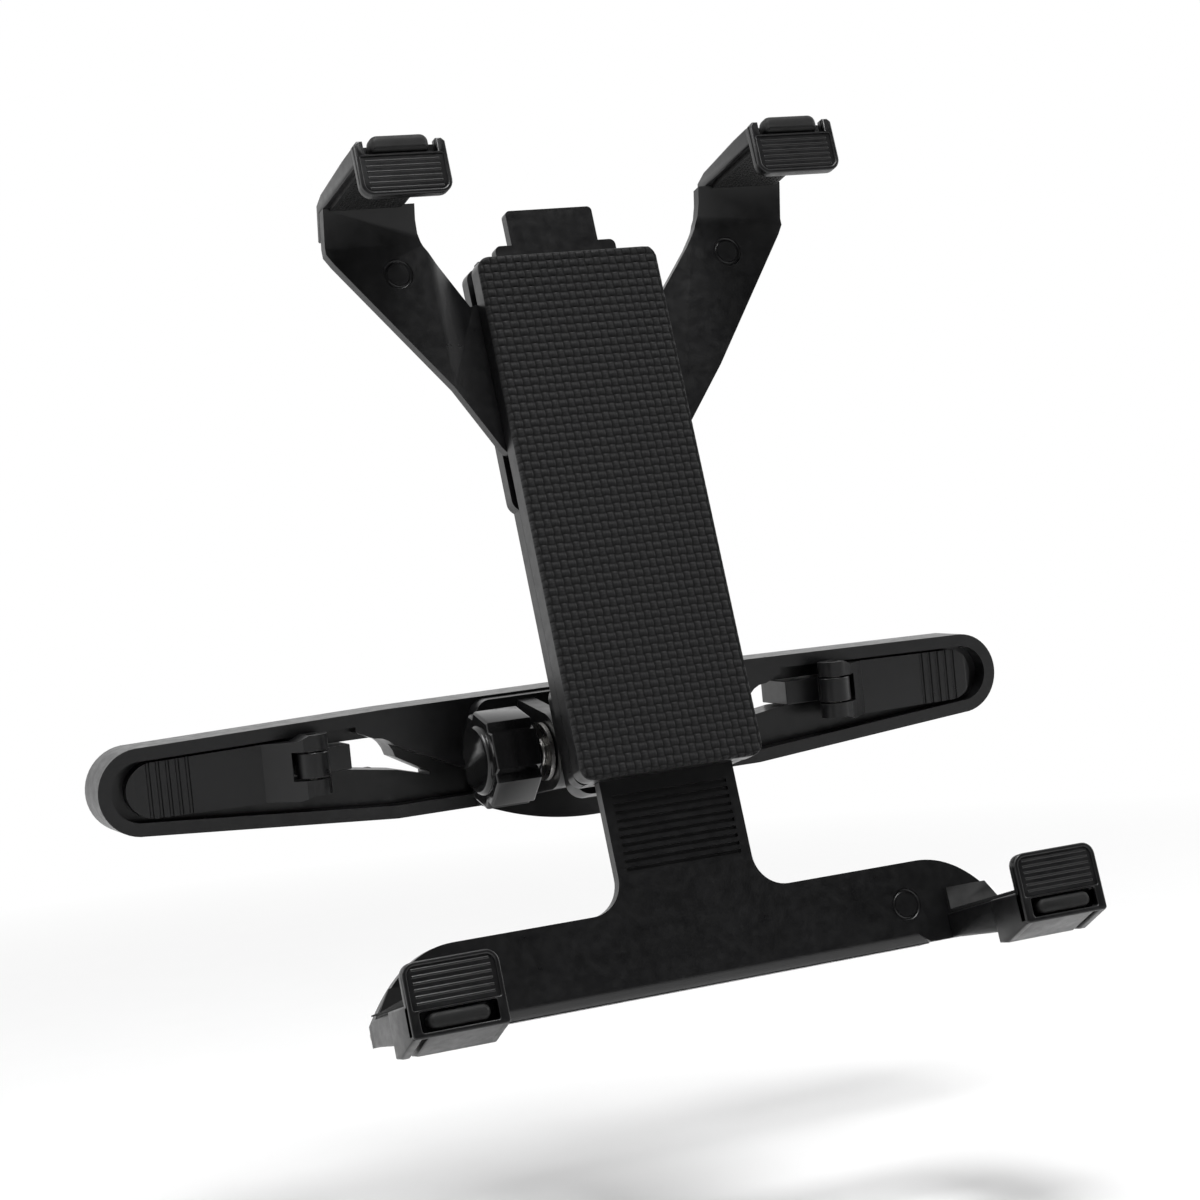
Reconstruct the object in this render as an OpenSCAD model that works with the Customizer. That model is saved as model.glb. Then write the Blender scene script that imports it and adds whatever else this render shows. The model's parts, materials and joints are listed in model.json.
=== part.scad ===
// Tablet mount for the two posts of a car headrest.
// A bar clamps to the posts. A tilting and turning holder grips the tablet by four claws.
// Millimetres. X runs along the bar, Z up the posts, and the tablet side faces -Y.
// The origin is the centre of the bar's back face.

/* [Bar] */
// Overall length of the bar
bar_length = 246; // [236:1:262]
// Depth of the bar from its back face to its front face
bar_depth = 13; // [12:0.5:16]
// Height of the bar at its middle
bar_height = 27; // [25:0.5:31]
// Radius of the bar's rounded ends
bar_end_r = 10.5; // [9.5:0.25:11.5]
// How far the end circles sit above the hinge line
bar_end_rise = 1.9; // [1:0.1:2.5]
// Depth of the two lever recesses
recess_depth = 4.6; // [4:0.1:5.5]
// Rim left round each recess
recess_rim = 3.2; // [2.5:0.1:4]
// Depth of the hollow in the back of the bar
back_hollow = 4; // [3:0.5:5]

/* [Post hooks] */
// Height of the knuckles above the hinge line
knuckle_z = 3.2; // [1.5:0.1:3.4]
// Inward travel of each hook along its slot
hook_travel = 6; // [4:0.5:7]
// Height of the hook
hook_h = 6.2; // [5.5:0.1:6.8]
// Width of the hook's stem in the slot
stem_l = 13.3; // [12:0.1:14]
// Thickness of the hook's band
hook_t = 3.6; // [3:0.1:4]
// Radius of the largest post that the lined hook closes on
post_r = 7; // [5.5:0.25:7.5]
// Thickness of the hook's rubber liner
liner_t = 1.2; // [0.8:0.1:1.6]
// How far the rubber pads stand out of the bar's back
pad_proud = 1.2; // [0.8:0.1:1.6]

/* [Levers] */
// Length of a lever from its knuckle to its tip
lever_l = 44.5; // [40:0.5:46]
// Distance of a lever's tip from the end of the bar
lever_margin = 7; // [6:0.5:9]
// Height of a lever at its knuckle
lever_h = 14.5; // [13.5:0.25:15]
// Thickness of a lever's paddle
lever_t = 3.7; // [3:0.1:3.9]
// Outer radius of the knuckle
knuckle_r = 4; // [3.6:0.1:4.2]
// Radius of the lever pin
pin_r = 1.5; // [1.2:0.05:1.7]

/* [Hinge] */
// Distance of the tilt axis in front of the bar
hinge_reach = 19.5; // [18.5:0.5:23]
// Radius of the hinge ears and of the barrel between them
ear_r = 9.5; // [8.5:0.25:10]
// Thickness of each hinge ear
ear_t = 4.4; // [3.6:0.1:5]
// Half of the width between the ears
ear_gap = 13.2; // [12:0.2:14]
// Radius of the clamp screw through the ears
clamp_r = 3.5; // [3:0.1:4]
// Half of the height of the hinge base
base_h = 19.3; // [17:0.1:20]
// Half of the width of the hinge base
base_w = 29; // [26:0.5:31]
// Thickness of the hinge base plate
base_t = 5; // [4:0.25:6]
// Forward or backward lean of the holder at rest, in degrees
rest_tilt = 15; // [0:1:20]

/* [Knob] */
// Radius of the knob over its lobes
knob_r = 11.8; // [10.5:0.1:12.5]
// Length of the knob
knob_l = 14.5; // [12:0.5:17]
// Number of lobes on the knob
knob_lobes = 6; // [5:1:8]
// Thread left showing between the washer and the knob
knob_gap = 2.4; // [1.5:0.1:4]

/* [Turning block] */
// Half of the width of the block
block_w = 18.5; // [17:0.5:20]
// Half of the height of the block
block_h = 14; // [12:0.5:14.5]
// Radius of the hub disc on the block
hub_r = 14; // [12.5:0.5:15]
// Radius of the spigot that turns in the rear cover
spigot_r = 8; // [6.5:0.25:8.5]
// Radius of the ring that holds the spigot in
retainer_r = 10.5; // [9.5:0.25:11]

/* [Holder body] */
// Width of the pad and the holder body
pad_w = 47; // [44:0.5:50]
// Length of the pad and the holder body
pad_l = 128; // [120:1:136]
// Thickness of the foam pad
foam_t = 1.5; // [1:0.1:2]
// Depth of the front plate
plate_t = 4.5; // [4:0.1:5]
// Thickness of the sliding layer behind the front plate
slide_t = 2.8; // [2.4:0.1:3]
// Depth of the rear cover
cover_t = 3.6; // [3.2:0.1:4]
// Distance from the foam's front to the tilt axis
pad_to_tilt = 34; // [33:0.5:37]
// Distance of the turning joint above the lower end of the pad
hub_inset = 13; // [12:0.5:20]
// Length of the full-width upper part of the rear cover
cover_upper = 61; // [58:1:63]

/* [Upper carriage] */
// Upward travel of the upper claws
carriage_up = 22; // [10:1:24]
// Downward travel of the upper claws
carriage_down = 5; // [2:1:5]
// Distance that the arms step forward beside the body
arm_joggle = 4.5; // [3.5:0.1:5]
// Half of the width of the pull tab
tab_w = 11.5; // [9:0.5:13]
// Height of the pull tab above the pad
tab_h = 13.2; // [10:0.2:16]

/* [Lower bracket] */
// Half of the width of the stem
stem_w = 17.4; // [16:0.1:17.6]
// Distance of the T's top edge below the pad
t_drop = 30.6; // [28:0.2:36]
// Height of the T's cross bar
t_h = 20; // [18:0.5:22]
// Upward travel of the lower claws
bracket_up = 16; // [8:1:18]
// Downward travel of the lower claws
bracket_down = 20; // [10:1:24]
// Number of catch ribs on the stem
rib_count = 9; // [6:1:9]
// Spacing of the catch ribs
rib_pitch = 1.9; // [1.7:0.1:2]

/* [Claws] */
// Width of a claw
claw_w = 21.9; // [20:0.1:23]
// Inner side of the upper claws from the middle
upper_x = 39; // [37:0.5:42]
// Inner side of the lower claws from the middle
lower_x = 64.1; // [62:0.5:67]
// Distance of the lips in front of the foam
lip_reach = 31.3; // [29:0.1:36]
// Height of a lower lip from its free edge to its base
lip_h = 16.1; // [15:0.1:18]
// Height of an upper lip
upper_lip_h = 13; // [12.6:0.1:14]
// Thickness of a lip
lip_t = 2.9; // [2.4:0.1:3.4]
// Free edge of the upper lips above the pad's top
upper_edge = 4.9; // [3:0.1:7]
// Free edge of the lower lips below the pad's bottom
lower_edge = 35.9; // [34:0.1:40]

/* [Fits] */
// Play of a turning or sliding fit, on the radius
fit_play = 0.05; // [0.02:0.01:0.09]
// Gap between pieces that move past each other
gap = 0.4; // [0.35:0.05:0.45]

/* [Hidden] */
$fn = 48;

// Bar outline
end_x = bar_length / 2 - bar_end_r;
half_h = bar_height / 2;
// Where the straight middle of the lower edge ends
flat_x = 50;
front_y = -bar_depth;
floor_y = front_y + recess_depth;
// Distance of each lever knuckle from the middle of the bar
knuckle_x = bar_length / 2 - lever_margin - lever_l;
// Upper and lower inner corners of a lever recess
recess_top_x = knuckle_x - 13;
recess_low_x = knuckle_x - 44;

// Hooks and levers
slot_h = hook_h + 2 * gap;
slot_out_x = knuckle_x + hook_t / 2 + gap;
stem_in_x = knuckle_x + hook_t / 2 - stem_l;
slot_in_x = stem_in_x - hook_travel - gap - 0.2;
// The slot's drooping point
slot_tip_x = slot_in_x - 14.4;
knuckle_y = front_y - knuckle_r - gap;
throat_r = post_r + liner_t;
throat_out_r = throat_r + hook_t;
throat_x = knuckle_x - hook_t / 2 + throat_out_r;
throat_y = pad_proud + post_r + gap;

// Hinge
tilt_y = front_y - hinge_reach;
washer_t = 1;
ear_out = ear_gap + ear_t;
knob_in = ear_out + washer_t + gap + knob_gap;
nut_r = 6.4;
nut_t = 5;

// Holder layers, measured back from the foam's front face
layer_plate = foam_t;
layer_slide = foam_t + plate_t + 0.25;
layer_cover = layer_slide + slide_t + 0.3;
layer_back = layer_cover + cover_t;
wall = 1.8;
cover_wall = 2.2;
body_r = 3;
half_w = pad_w / 2;
lower_half = half_w - 3;
block_front = layer_back + 0.3;

// Swivel
hub_drop = pad_l - hub_inset;
spigot_end = layer_back - cover_wall - 0.3;
retainer_t = 1;

// Stem and carriage
stem_grip = 22;
stem_top = -pad_l + bracket_down + stem_grip;
carriage_low = -56.5;
t_top = -(pad_l + t_drop);
t_low = t_top - t_h;
t_half = lower_x + 7;
t_flange = 5;
screw_x = lower_half - 0.5;
boss_r = 2.1;
low_screw_z = 3 - pad_l;
mid_screw_z = -(cover_upper + 6.5);
top_boss_z = -6.5;

// Upper claw seat, measured forward of the foam and outward from the lip's free edge.
// Each arm leans forward from seat_near to seat_far, and the claw sits on its end.
rest_s = 8.6;
arm_front = arm_joggle - layer_slide;
joggle_start = half_w + 1;
joggle_end = upper_x - 4;
seat_near = [arm_front, 0.2];
seat_far = [2, rest_s];
seat_lean = atan2(seat_far[0] - seat_near[0], seat_far[1] - seat_near[1]);
arm_step = slide_t / cos(seat_lean);
lug_t = 2.2;
lug_step = lug_t / cos(seat_lean);
lug_s = 3;
function seat_at(s) = seat_near + (seat_far - seat_near) * (s - seat_near[1]) / (seat_far[1] - seat_near[1]);
// Where the back of the arm starts to lean
bend_s = seat_near[1] + (arm_step - slide_t) * (seat_far[1] - seat_near[1]) / (seat_far[0] - seat_near[0]);
lip_back = lip_reach - lip_t;
block_n = 17;
lining_t = 0.9;
// Window in a claw's block, from its low edge outwards
window_s = 10.3;
window_h = 4.6;
upper_window_s = 9.9;
window_margin = 2.2;
window_depth = 4;

// Point where a line from p touches a circle with centre c and radius r, side = 1 or -1.
// It lies a hair inside the circle, so that the two outlines cross and join.
touch_in = 0.997;
function touch_angle(p, c, r, side) =
    let (d = p - c) atan2(d[1], d[0]) + side * acos(r / norm(d));
function touch_point(p, c, r, side) =
    let (a = touch_angle(p, c, r * touch_in, side)) c + r * touch_in * [cos(a), sin(a)];

function total(v, i = 0) = i < len(v) ? v[i] + total(v, i + 1) : 0;
function turn(p, q) = p[0] * q[1] - q[0] * p[1];

// Draws a polygon with its points taken anticlockwise, whichever way they are listed.
module outline(points) {
    n = len(points);
    area = total([for (i = [0 : n - 1]) turn(points[i], points[(i + 1) % n])]);
    polygon(area > 0 ? points : [for (i = [n - 1 : -1 : 0]) points[i]]);
}

// Moves children from pad coordinates to the rest position.
// Pad coordinates: foam front at y 0, backwards positive, pad top at z 0, middle at x 0.
module on_holder() {
    translate([0, tilt_y, 0])
        rotate([-rest_tilt, 0, 0])
            translate([0, -pad_to_tilt, hub_drop])
                children();
}

// Left is the side of -X.
module left_or_right(right) {
    if (right)
        children();
    else
        mirror([1, 0, 0]) children();
}

// Extrudes an outline drawn in X and Z from y0 back to y1.
module plate_y(y0, y1) {
    translate([0, y1, 0])
        rotate([90, 0, 0])
            linear_extrude(height = y1 - y0)
                children();
}

// Round bar along Y from y0 to y1.
module rod_y(x, z, r, y0, y1) {
    translate([x, y1, z])
        rotate([90, 0, 0])
            cylinder(r = r, h = y1 - y0);
}

// Round bar along X from x0 to x1.
module rod_x(y, z, r, x0, x1) {
    translate([x0, y, z])
        rotate([0, 90, 0])
            cylinder(r = r, h = x1 - x0);
}

module rounded_rect(x0, z0, x1, z1, r) {
    union() {
        translate([x0 + r, z0])
            square([x1 - x0 - 2 * r, z1 - z0]);
        translate([x0, z0 + r])
            square([x1 - x0, z1 - z0 - 2 * r]);
        for (x = [x0 + r, x1 - r], z = [z0 + r, z1 - r])
            translate([x, z])
                circle(r = r);
    }
}

// Right half of the bar's outline, drawn smaller by inset.
module bar_half_outline(inset) {
    c = [end_x, bar_end_rise];
    r = bar_end_r - inset;
    top = [flat_x, half_h - inset];
    low = [flat_x, -half_h + inset];
    union() {
        translate(c)
            circle(r = r);
        outline([
            [-1, half_h - inset],
            top,
            touch_point(top, c, r, -1),
            c + [0.3, 0],
            touch_point(low, c, r, 1),
            low,
            [-1, -half_h + inset]
        ]);
    }
}

module bar_outline() {
    union() {
        bar_half_outline(0);
        mirror([1, 0]) bar_half_outline(0);
    }
}

// Right lever recess, cut off by a slanted line towards the middle.
module recess_outline() {
    difference() {
        bar_half_outline(recess_rim);
        outline([
            [-5, half_h],
            [recess_top_x, half_h],
            [recess_top_x, half_h - recess_rim - 1.5],
            [recess_low_x, -half_h * 0.4],
            [recess_low_x, -half_h],
            [-5, -half_h]
        ]);
    }
}

// Right slot. Inboard of the hook's travel its top curves down to a drooping point.
module slot_outline() {
    top = knuckle_z + slot_h / 2;
    low = knuckle_z - slot_h / 2;
    bow = slot_in_x - slot_tip_x - 8.3;
    outline(concat(
        [[slot_out_x, low], [slot_out_x, top]],
        [for (a = [0 : 15 : 75]) [slot_in_x - bow * sin(a), top - (slot_h + 0.6) * (1 - cos(a))]],
        [
            [slot_tip_x, low - 3.4],
            [slot_tip_x, low - 4.2],
            [slot_in_x - bow, low - 1.9],
            [stem_in_x, low]
        ]
    ));
}

// Room in the back of the bar near one end.
module back_hollow_outline() {
    difference() {
        bar_half_outline(recess_rim);
        translate([-5, -bar_height])
            square([slot_out_x + 25, 2 * bar_height]);
    }
}

module base_screw_places() {
    for (x = [-base_w + 6, base_w - 6], z = [-7.5, 7.5])
        translate([x, 0, z])
            children();
}

module seat_bar() {
    color([0.1, 0.1, 0.11])
    difference() {
        plate_y(front_y, 0)
            bar_outline();
        for (side = [0, 1])
            mirror([side, 0, 0]) {
                plate_y(front_y - 1, floor_y)
                    recess_outline();
                plate_y(front_y - 1, 1)
                    slot_outline();
                plate_y(-back_hollow, 1)
                    back_hollow_outline();
                plate_y(-1, 1)
                    pad_outline(0);
            }
        base_screw_places()
            rod_y(0, 0, 1.6, front_y - 1, 1);
        base_screw_places()
            rod_y(0, 0, 3.4, -3, 1);
    }
}

// Right rubber pad on the bar's back, open round the slot.
module pad_outline(inset) {
    difference() {
        rounded_rect(slot_in_x - 2 + inset, knuckle_z - 13 + inset,
            slot_out_x + 21 - inset, knuckle_z + 7 - inset, 2);
        translate([slot_in_x - 3, knuckle_z - slot_h / 2 - 1 - inset])
            square([slot_out_x + 4 - slot_in_x, slot_h + 2 + 2 * inset]);
    }
}

module back_pad(right) {
    color([0.14, 0.14, 0.14])
    left_or_right(right)
        plate_y(-1, pad_proud)
            pad_outline(0.1);
}

// Base of the hinge: a lens shaped plate on the bar's front, two ears and their webs.
module hinge_base() {
    color([0.1, 0.1, 0.11])
    difference() {
        union() {
            plate_y(front_y - base_t, front_y)
                base_outline();
            for (side = [0, 1])
                mirror([side, 0, 0])
                    ear();
        }
        rod_x(tilt_y, 0, clamp_r + fit_play, -ear_out - 1, ear_out + 1);
        // Hexagon pocket for the nut in the right ear
        translate([ear_out - nut_t + 1.4, tilt_y, 0])
            rotate([0, 90, 0])
                cylinder(r = nut_r + 0.1, h = nut_t, $fn = 6);
        base_screw_places()
            rod_y(0, 0, 1.25, front_y - base_t + 1.2, front_y + 1);
    }
}

module base_outline() {
    arc_r = (base_w * base_w + 36) / 12 * 0.97;
    intersection() {
        translate([0, arc_r - base_h])
            circle(r = arc_r, $fn = 96);
        rounded_rect(-base_w, -base_h, base_w, half_h - 0.6, 4);
    }
}

// One ear: a disc round the tilt axis with a foot that widens to the base plate.
module ear() {
    translate([ear_gap, 0, 0])
        rotate([90, 0, 90])
            linear_extrude(height = ear_t)
                union() {
                    translate([tilt_y, 0])
                        circle(r = ear_r);
                    foot = [front_y - base_t + 0.5, ear_r + 2.5];
                    t = touch_point(foot, [tilt_y, 0], ear_r, 1);
                    outline([[tilt_y, 0], t, foot, [foot[0], -foot[1]], [t[0], -t[1]]]);
                }
}

module hinge_base_screws() {
    color([0.55, 0.55, 0.57])
    base_screw_places() {
        rod_y(0, 0, 1.25, front_y - base_t + 1.5, -3);
        difference() {
            rod_y(0, 0, 2.9, -3, -0.8);
            rod_y(0, 0, 1.1, -1.8, 0);
        }
    }
}

module clamp_nut() {
    color([0.6, 0.6, 0.62])
    difference() {
        translate([ear_out - nut_t + 1.4, tilt_y, 0])
            rotate([0, 90, 0])
                cylinder(r = nut_r, h = nut_t, $fn = 6);
        rod_x(tilt_y, 0, clamp_r + fit_play, ear_gap, ear_out + 6);
    }
}

// Hook: an eye in front of the bar, a stem through the slot and a band round the post.
module hook(right) {
    color([0.1, 0.1, 0.11])
    left_or_right(right)
        translate([0, 0, knuckle_z - hook_h / 2])
            difference() {
                linear_extrude(height = hook_h)
                    union() {
                        translate([knuckle_x, knuckle_y])
                            circle(r = knuckle_r);
                        translate([knuckle_x - hook_t / 2, knuckle_y])
                            square([hook_t, throat_y - knuckle_y]);
                        outline([
                            [stem_in_x, front_y + 1],
                            [stem_in_x, 2],
                            [throat_x - throat_out_r, throat_y],
                            [throat_x - throat_out_r + 1, throat_y],
                            [throat_x - throat_out_r + 1, front_y + 1]
                        ]);
                        hook_band(throat_r, throat_out_r);
                        // Rounded tip of the band
                        translate([throat_x + throat_r + hook_t / 2, throat_y])
                            circle(r = hook_t / 2);
                    }
                translate([knuckle_x, knuckle_y, -1])
                    cylinder(r = pin_r + fit_play, h = hook_h + 2);
            }
}

// Half ring behind the post, drawn from its stem round to its tip.
module hook_band(r_in, r_out) {
    translate([throat_x, throat_y])
        difference() {
            circle(r = r_out);
            circle(r = r_in);
            translate([-r_out - 1, -r_out - 1])
                square([2 * r_out + 2, r_out + 1]);
        }
}

module hook_liner(right) {
    color([0.16, 0.16, 0.16])
    left_or_right(right)
        translate([0, 0, knuckle_z - hook_h / 2])
            linear_extrude(height = hook_h)
                hook_band(post_r, throat_r);
}

// Side outline of a lever from above: knuckle, root and paddle.
module lever_section() {
    x0 = knuckle_x;
    paddle_back = floor_y - gap;
    paddle_front = paddle_back - lever_t;
    union() {
        translate([x0, knuckle_y])
            circle(r = knuckle_r);
        outline([
            [x0, knuckle_y - knuckle_r],
            [x0 + 3, knuckle_y - knuckle_r + 0.6],
            [x0 + 11, paddle_front],
            [x0 + lever_l - 2, paddle_front],
            [x0 + lever_l, paddle_front + 1],
            [x0 + lever_l, paddle_back],
            [x0 + 9, paddle_back],
            [x0 + 4.5, front_y - gap],
            [x0, front_y - gap],
            [x0, knuckle_y]
        ]);
    }
}

// Front outline of a lever: tall knuckle, then a paddle that fits in the recess, round at the tip.
module lever_outline() {
    r = bar_end_r - recess_rim - 0.6;
    tip = [knuckle_x + lever_l - r, bar_end_rise];
    root_x = knuckle_x + 4.2;
    root_top = [root_x, half_h - recess_rim - 1.1];
    root_low = [root_x, knuckle_z - lever_h / 2 - 1];
    union() {
        translate(tip)
            circle(r = r);
        outline([
            [knuckle_x - knuckle_r, knuckle_z + lever_h / 2],
            [knuckle_x + 1.5, knuckle_z + lever_h / 2],
            root_top,
            touch_point(root_top, tip, r, -1),
            tip + [0.3, 0],
            touch_point(root_low, tip, r, 1),
            root_low,
            [knuckle_x + 1.5, knuckle_z - lever_h / 2],
            [knuckle_x - knuckle_r, knuckle_z - lever_h / 2]
        ]);
    }
}

module lever(right) {
    color([0.1, 0.1, 0.11])
    left_or_right(right)
        difference() {
            intersection() {
                translate([0, 0, knuckle_z - lever_h])
                    linear_extrude(height = 2 * lever_h)
                        lever_section();
                plate_y(knuckle_y - knuckle_r - 1, 0)
                    lever_outline();
            }
            // Room for the hook's eye
            translate([knuckle_x - knuckle_r - 1, knuckle_y - knuckle_r - 1, knuckle_z - slot_h / 2])
                cube([2 * knuckle_r + 1 + gap + 1, 2 * knuckle_r + 3, slot_h]);
            translate([knuckle_x, knuckle_y, knuckle_z - lever_h])
                cylinder(r = pin_r, h = 2 * lever_h);
            // Finger grooves near the tip
            for (i = [0 : 4])
                translate([knuckle_x + lever_l - 5.5 - 2.4 * i, floor_y - gap - lever_t, -lever_h])
                    cylinder(r = 0.5, h = 2 * lever_h, $fn = 24);
        }
}

module lever_pin(right) {
    color([0.6, 0.6, 0.62])
    left_or_right(right)
        translate([knuckle_x, knuckle_y, knuckle_z - lever_h / 2 + 0.4])
            cylinder(r = pin_r, h = lever_h - 0.8);
}

// Block between the ears: barrel, slab and hub, with the spigot that turns in the rear cover.
module tilt_block() {
    color([0.12, 0.12, 0.13])
    on_holder()
    translate([0, pad_to_tilt, -hub_drop])
    difference() {
        hub_y = block_front - pad_to_tilt;
        slab_y = -ear_r - 0.8;
        union() {
            rod_x(0, 0, ear_r, -ear_gap + gap, ear_gap - gap);
            translate([-ear_gap + gap, 0, 0])
                rotate([90, 0, 90])
                    linear_extrude(height = 2 * (ear_gap - gap))
                        block_web(slab_y);
            plate_y(hub_y + 4.5, slab_y)
                rounded_rect(-block_w, -block_h, block_w, block_h, 4);
            rod_y(0, 0, hub_r, hub_y, slab_y);
            rod_y(0, 0, spigot_r, spigot_end - pad_to_tilt, slab_y);
        }
        rod_x(0, 0, clamp_r + fit_play, -ear_gap - 1, ear_gap + 1);
        for (a = [0 : 120 : 240])
            rotate([0, a, 0])
                rod_y(0, 5.2, 1, spigot_end - pad_to_tilt - 1, spigot_end - pad_to_tilt + 7);
    }
}

module block_web(slab_y) {
    foot = [slab_y, block_h - 2];
    t = touch_point(foot, [0, 0], ear_r, -1);
    outline([[0, 0], t, foot, [foot[0], -foot[1]], [t[0], -t[1]]]);
}

module swivel_retainer() {
    color([0.6, 0.6, 0.62])
    on_holder()
    translate([0, 0, -hub_drop])
        difference() {
            rod_y(0, 0, retainer_r, spigot_end - retainer_t, spigot_end);
            for (a = [0 : 120 : 240])
                rotate([0, a, 0])
                    rod_y(0, 5.2, 1.2, spigot_end - retainer_t - 1, spigot_end + 1);
        }
}

module retainer_screws() {
    color([0.6, 0.6, 0.62])
    on_holder()
    translate([0, 0, -hub_drop])
        for (a = [0 : 120 : 240])
            rotate([0, a, 0])
                rod_y(0, 5.2, 1, spigot_end - retainer_t, spigot_end + 6);
}

// Knob on the left end of the clamp screw: flat lobes round a core, with a domed end flange.
module tilt_knob() {
    color([0.06, 0.06, 0.06])
    translate([-knob_in - knob_l, tilt_y, 0])
        rotate([0, 90, 0])
            difference() {
                union() {
                    cylinder(r1 = knob_r * 0.78, r2 = knob_r * 0.92, h = 2.6);
                    translate([0, 0, 2.6])
                        linear_extrude(height = knob_l - 4.6)
                            knob_outline();
                    translate([0, 0, knob_l - 2.01])
                        cylinder(r1 = knob_r * 0.8, r2 = knob_r * 0.62, h = 2.01);
                }
                translate([0, 0, knob_l - 8])
                    cylinder(r = clamp_r, h = 9);
            }
}

// Six flat lobes with hollows between them.
module knob_outline() {
    difference() {
        union() {
            circle(r = knob_r * 0.86);
            for (i = [0 : knob_lobes - 1])
                rotate(i * 360 / knob_lobes + 15)
                    translate([0, -knob_r * 0.3])
                        square([knob_r * 0.954, knob_r * 0.6]);
        }
        for (i = [0 : knob_lobes - 1])
            rotate((i + 0.5) * 360 / knob_lobes + 15)
                translate([knob_r * 1.02, 0])
                    circle(r = knob_r * 0.2, $fn = 24);
    }
}

module clamp_screw() {
    color([0.62, 0.62, 0.64])
    rod_x(tilt_y, 0, clamp_r, -knob_in - 8, ear_out + 1.4);
}

module knob_washer() {
    color([0.62, 0.62, 0.64])
    difference() {
        rod_x(tilt_y, 0, clamp_r + 3.6, -ear_out - washer_t - gap, -ear_out - gap);
        rod_x(tilt_y, 0, clamp_r, -ear_out - 3, -ear_out + 3);
    }
}

module cover_screw_places() {
    for (p = [[-screw_x, low_screw_z], [screw_x, low_screw_z],
              [-screw_x, mid_screw_z], [screw_x, mid_screw_z], [0, top_boss_z]])
        translate([p[0], 0, p[1]])
            children();
}

// Tray behind the foam. Its rim hides the slot that the arms come out of.
module front_plate() {
    color([0.12, 0.12, 0.13])
    on_holder()
        difference() {
            union() {
                difference() {
                    plate_y(layer_plate, layer_plate + plate_t)
                        rounded_rect(-half_w, -pad_l, half_w, 0, body_r);
                    plate_y(layer_plate + wall, layer_plate + plate_t + 1)
                        rounded_rect(-half_w + wall, -pad_l + wall, half_w - wall, -wall, body_r - 1.5);
                }
                cover_screw_places()
                    rod_y(0, 0, boss_r, layer_plate + wall - 0.5, layer_slide - 0.25);
            }
            // Mouth for the stem in the bottom wall
            translate([-stem_w - gap, layer_slide - gap, -pad_l - 1])
                cube([2 * (stem_w + gap), plate_t, wall + 2]);
            cover_screw_places()
                rod_y(0, 0, 1, layer_plate + 1, layer_back);
        }
}

module foam_pad() {
    color([0.2, 0.2, 0.2])
    on_holder()
        plate_y(0, layer_plate)
            rounded_rect(-half_w, -pad_l, half_w, 0, body_r);
}

// Outline of the rear cover: full width at the top, narrower below.
module cover_outline(inset) {
    rounded_rect(-half_w + inset, -cover_upper + inset, half_w - inset, -inset, body_r);
    rounded_rect(-screw_x - boss_r + inset, -pad_l + inset, screw_x + boss_r - inset, -cover_upper + 8, body_r);
}

// Rear cover: back wall, low side walls above, and high side walls that guide the stem below.
module rear_cover() {
    color([0.12, 0.12, 0.13])
    on_holder()
        difference() {
            union() {
                plate_y(layer_back - cover_wall, layer_back)
                    cover_outline(0);
                difference() {
                    plate_y(layer_cover, layer_back)
                        cover_outline(0);
                    plate_y(layer_cover - 1, layer_back - cover_wall)
                        cover_outline(wall);
                }
                for (side = [-1, 1])
                    translate([side * (stem_w + gap + 1.1) - 1.1, layer_slide - 0.25, -pad_l])
                        cube([2.2, cover_t + slide_t - 1, pad_l - cover_upper - 4]);
                cover_screw_places()
                    rod_y(0, 0, boss_r, layer_slide - 0.25, layer_back);
            }
            translate([0, 0, -hub_drop])
                rod_y(0, 0, spigot_r + fit_play, layer_cover - 3, layer_back + 1);
            cover_screw_places()
                rod_y(0, 0, 1.3, layer_plate, layer_back + 1);
            cover_screw_places()
                rod_y(0, 0, 1.85, layer_back - 1.4, layer_back + 1);
        }
}

module cover_screws() {
    color([0.6, 0.6, 0.62])
    on_holder()
        cover_screw_places()
            difference() {
                union() {
                    rod_y(0, 0, 1, layer_plate + 2, layer_back - 1.4);
                    rod_y(0, 0, 1.75, layer_back - 1.4, layer_back - 0.2);
                }
                rod_y(0, 0, 0.8, layer_back - 0.9, layer_back);
            }
}

// Spring catch under the front plate that clicks over the ribs of the stem.
module stem_catch() {
    color([0.6, 0.6, 0.62])
    on_holder()
        translate([-8, layer_plate + wall, -pad_l + 14]) {
            cube([16, 0.6, 26]);
            cube([16, layer_slide - 0.35 - layer_plate - wall, 2.2]);
        }
}

// Sheet profile of an arm's outer part: flat, then leaning forward, with a level end for the claw.
// Drawn with the holder's forward direction along X and the outward direction along Y.
module arm_profile(start_s) {
    outline([
        [arm_front, start_s],
        seat_near,
        seat_far,
        seat_far - [arm_step, 0],
        [arm_front - slide_t, bend_s],
        [arm_front - slide_t, start_s]
    ]);
}

// Sheet profile of an arm's inner part from above: it steps forward beside the body.
module joggle_profile() {
    y = layer_slide;
    outline([
        [half_w - 8, y],
        [joggle_start, y],
        [joggle_end, y - arm_joggle],
        [joggle_end + 0.5, y - arm_joggle],
        [joggle_end + 0.5, y - arm_joggle + slide_t],
        [joggle_end, y - arm_joggle + slide_t],
        [joggle_start, y + slide_t],
        [half_w - 8, y + slide_t]
    ]);
}

// Turns a profile of forward and outward distances into a bar along X.
// Outward distances start at height z0 and grow along dir, 1 up or -1 down.
module along_x(x0, x1, z0, dir) {
    translate([x0, 0, z0])
        scale([1, -1, dir])
            rotate([90, 0, 90])
                linear_extrude(height = x1 - x0)
                    children();
}

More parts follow.
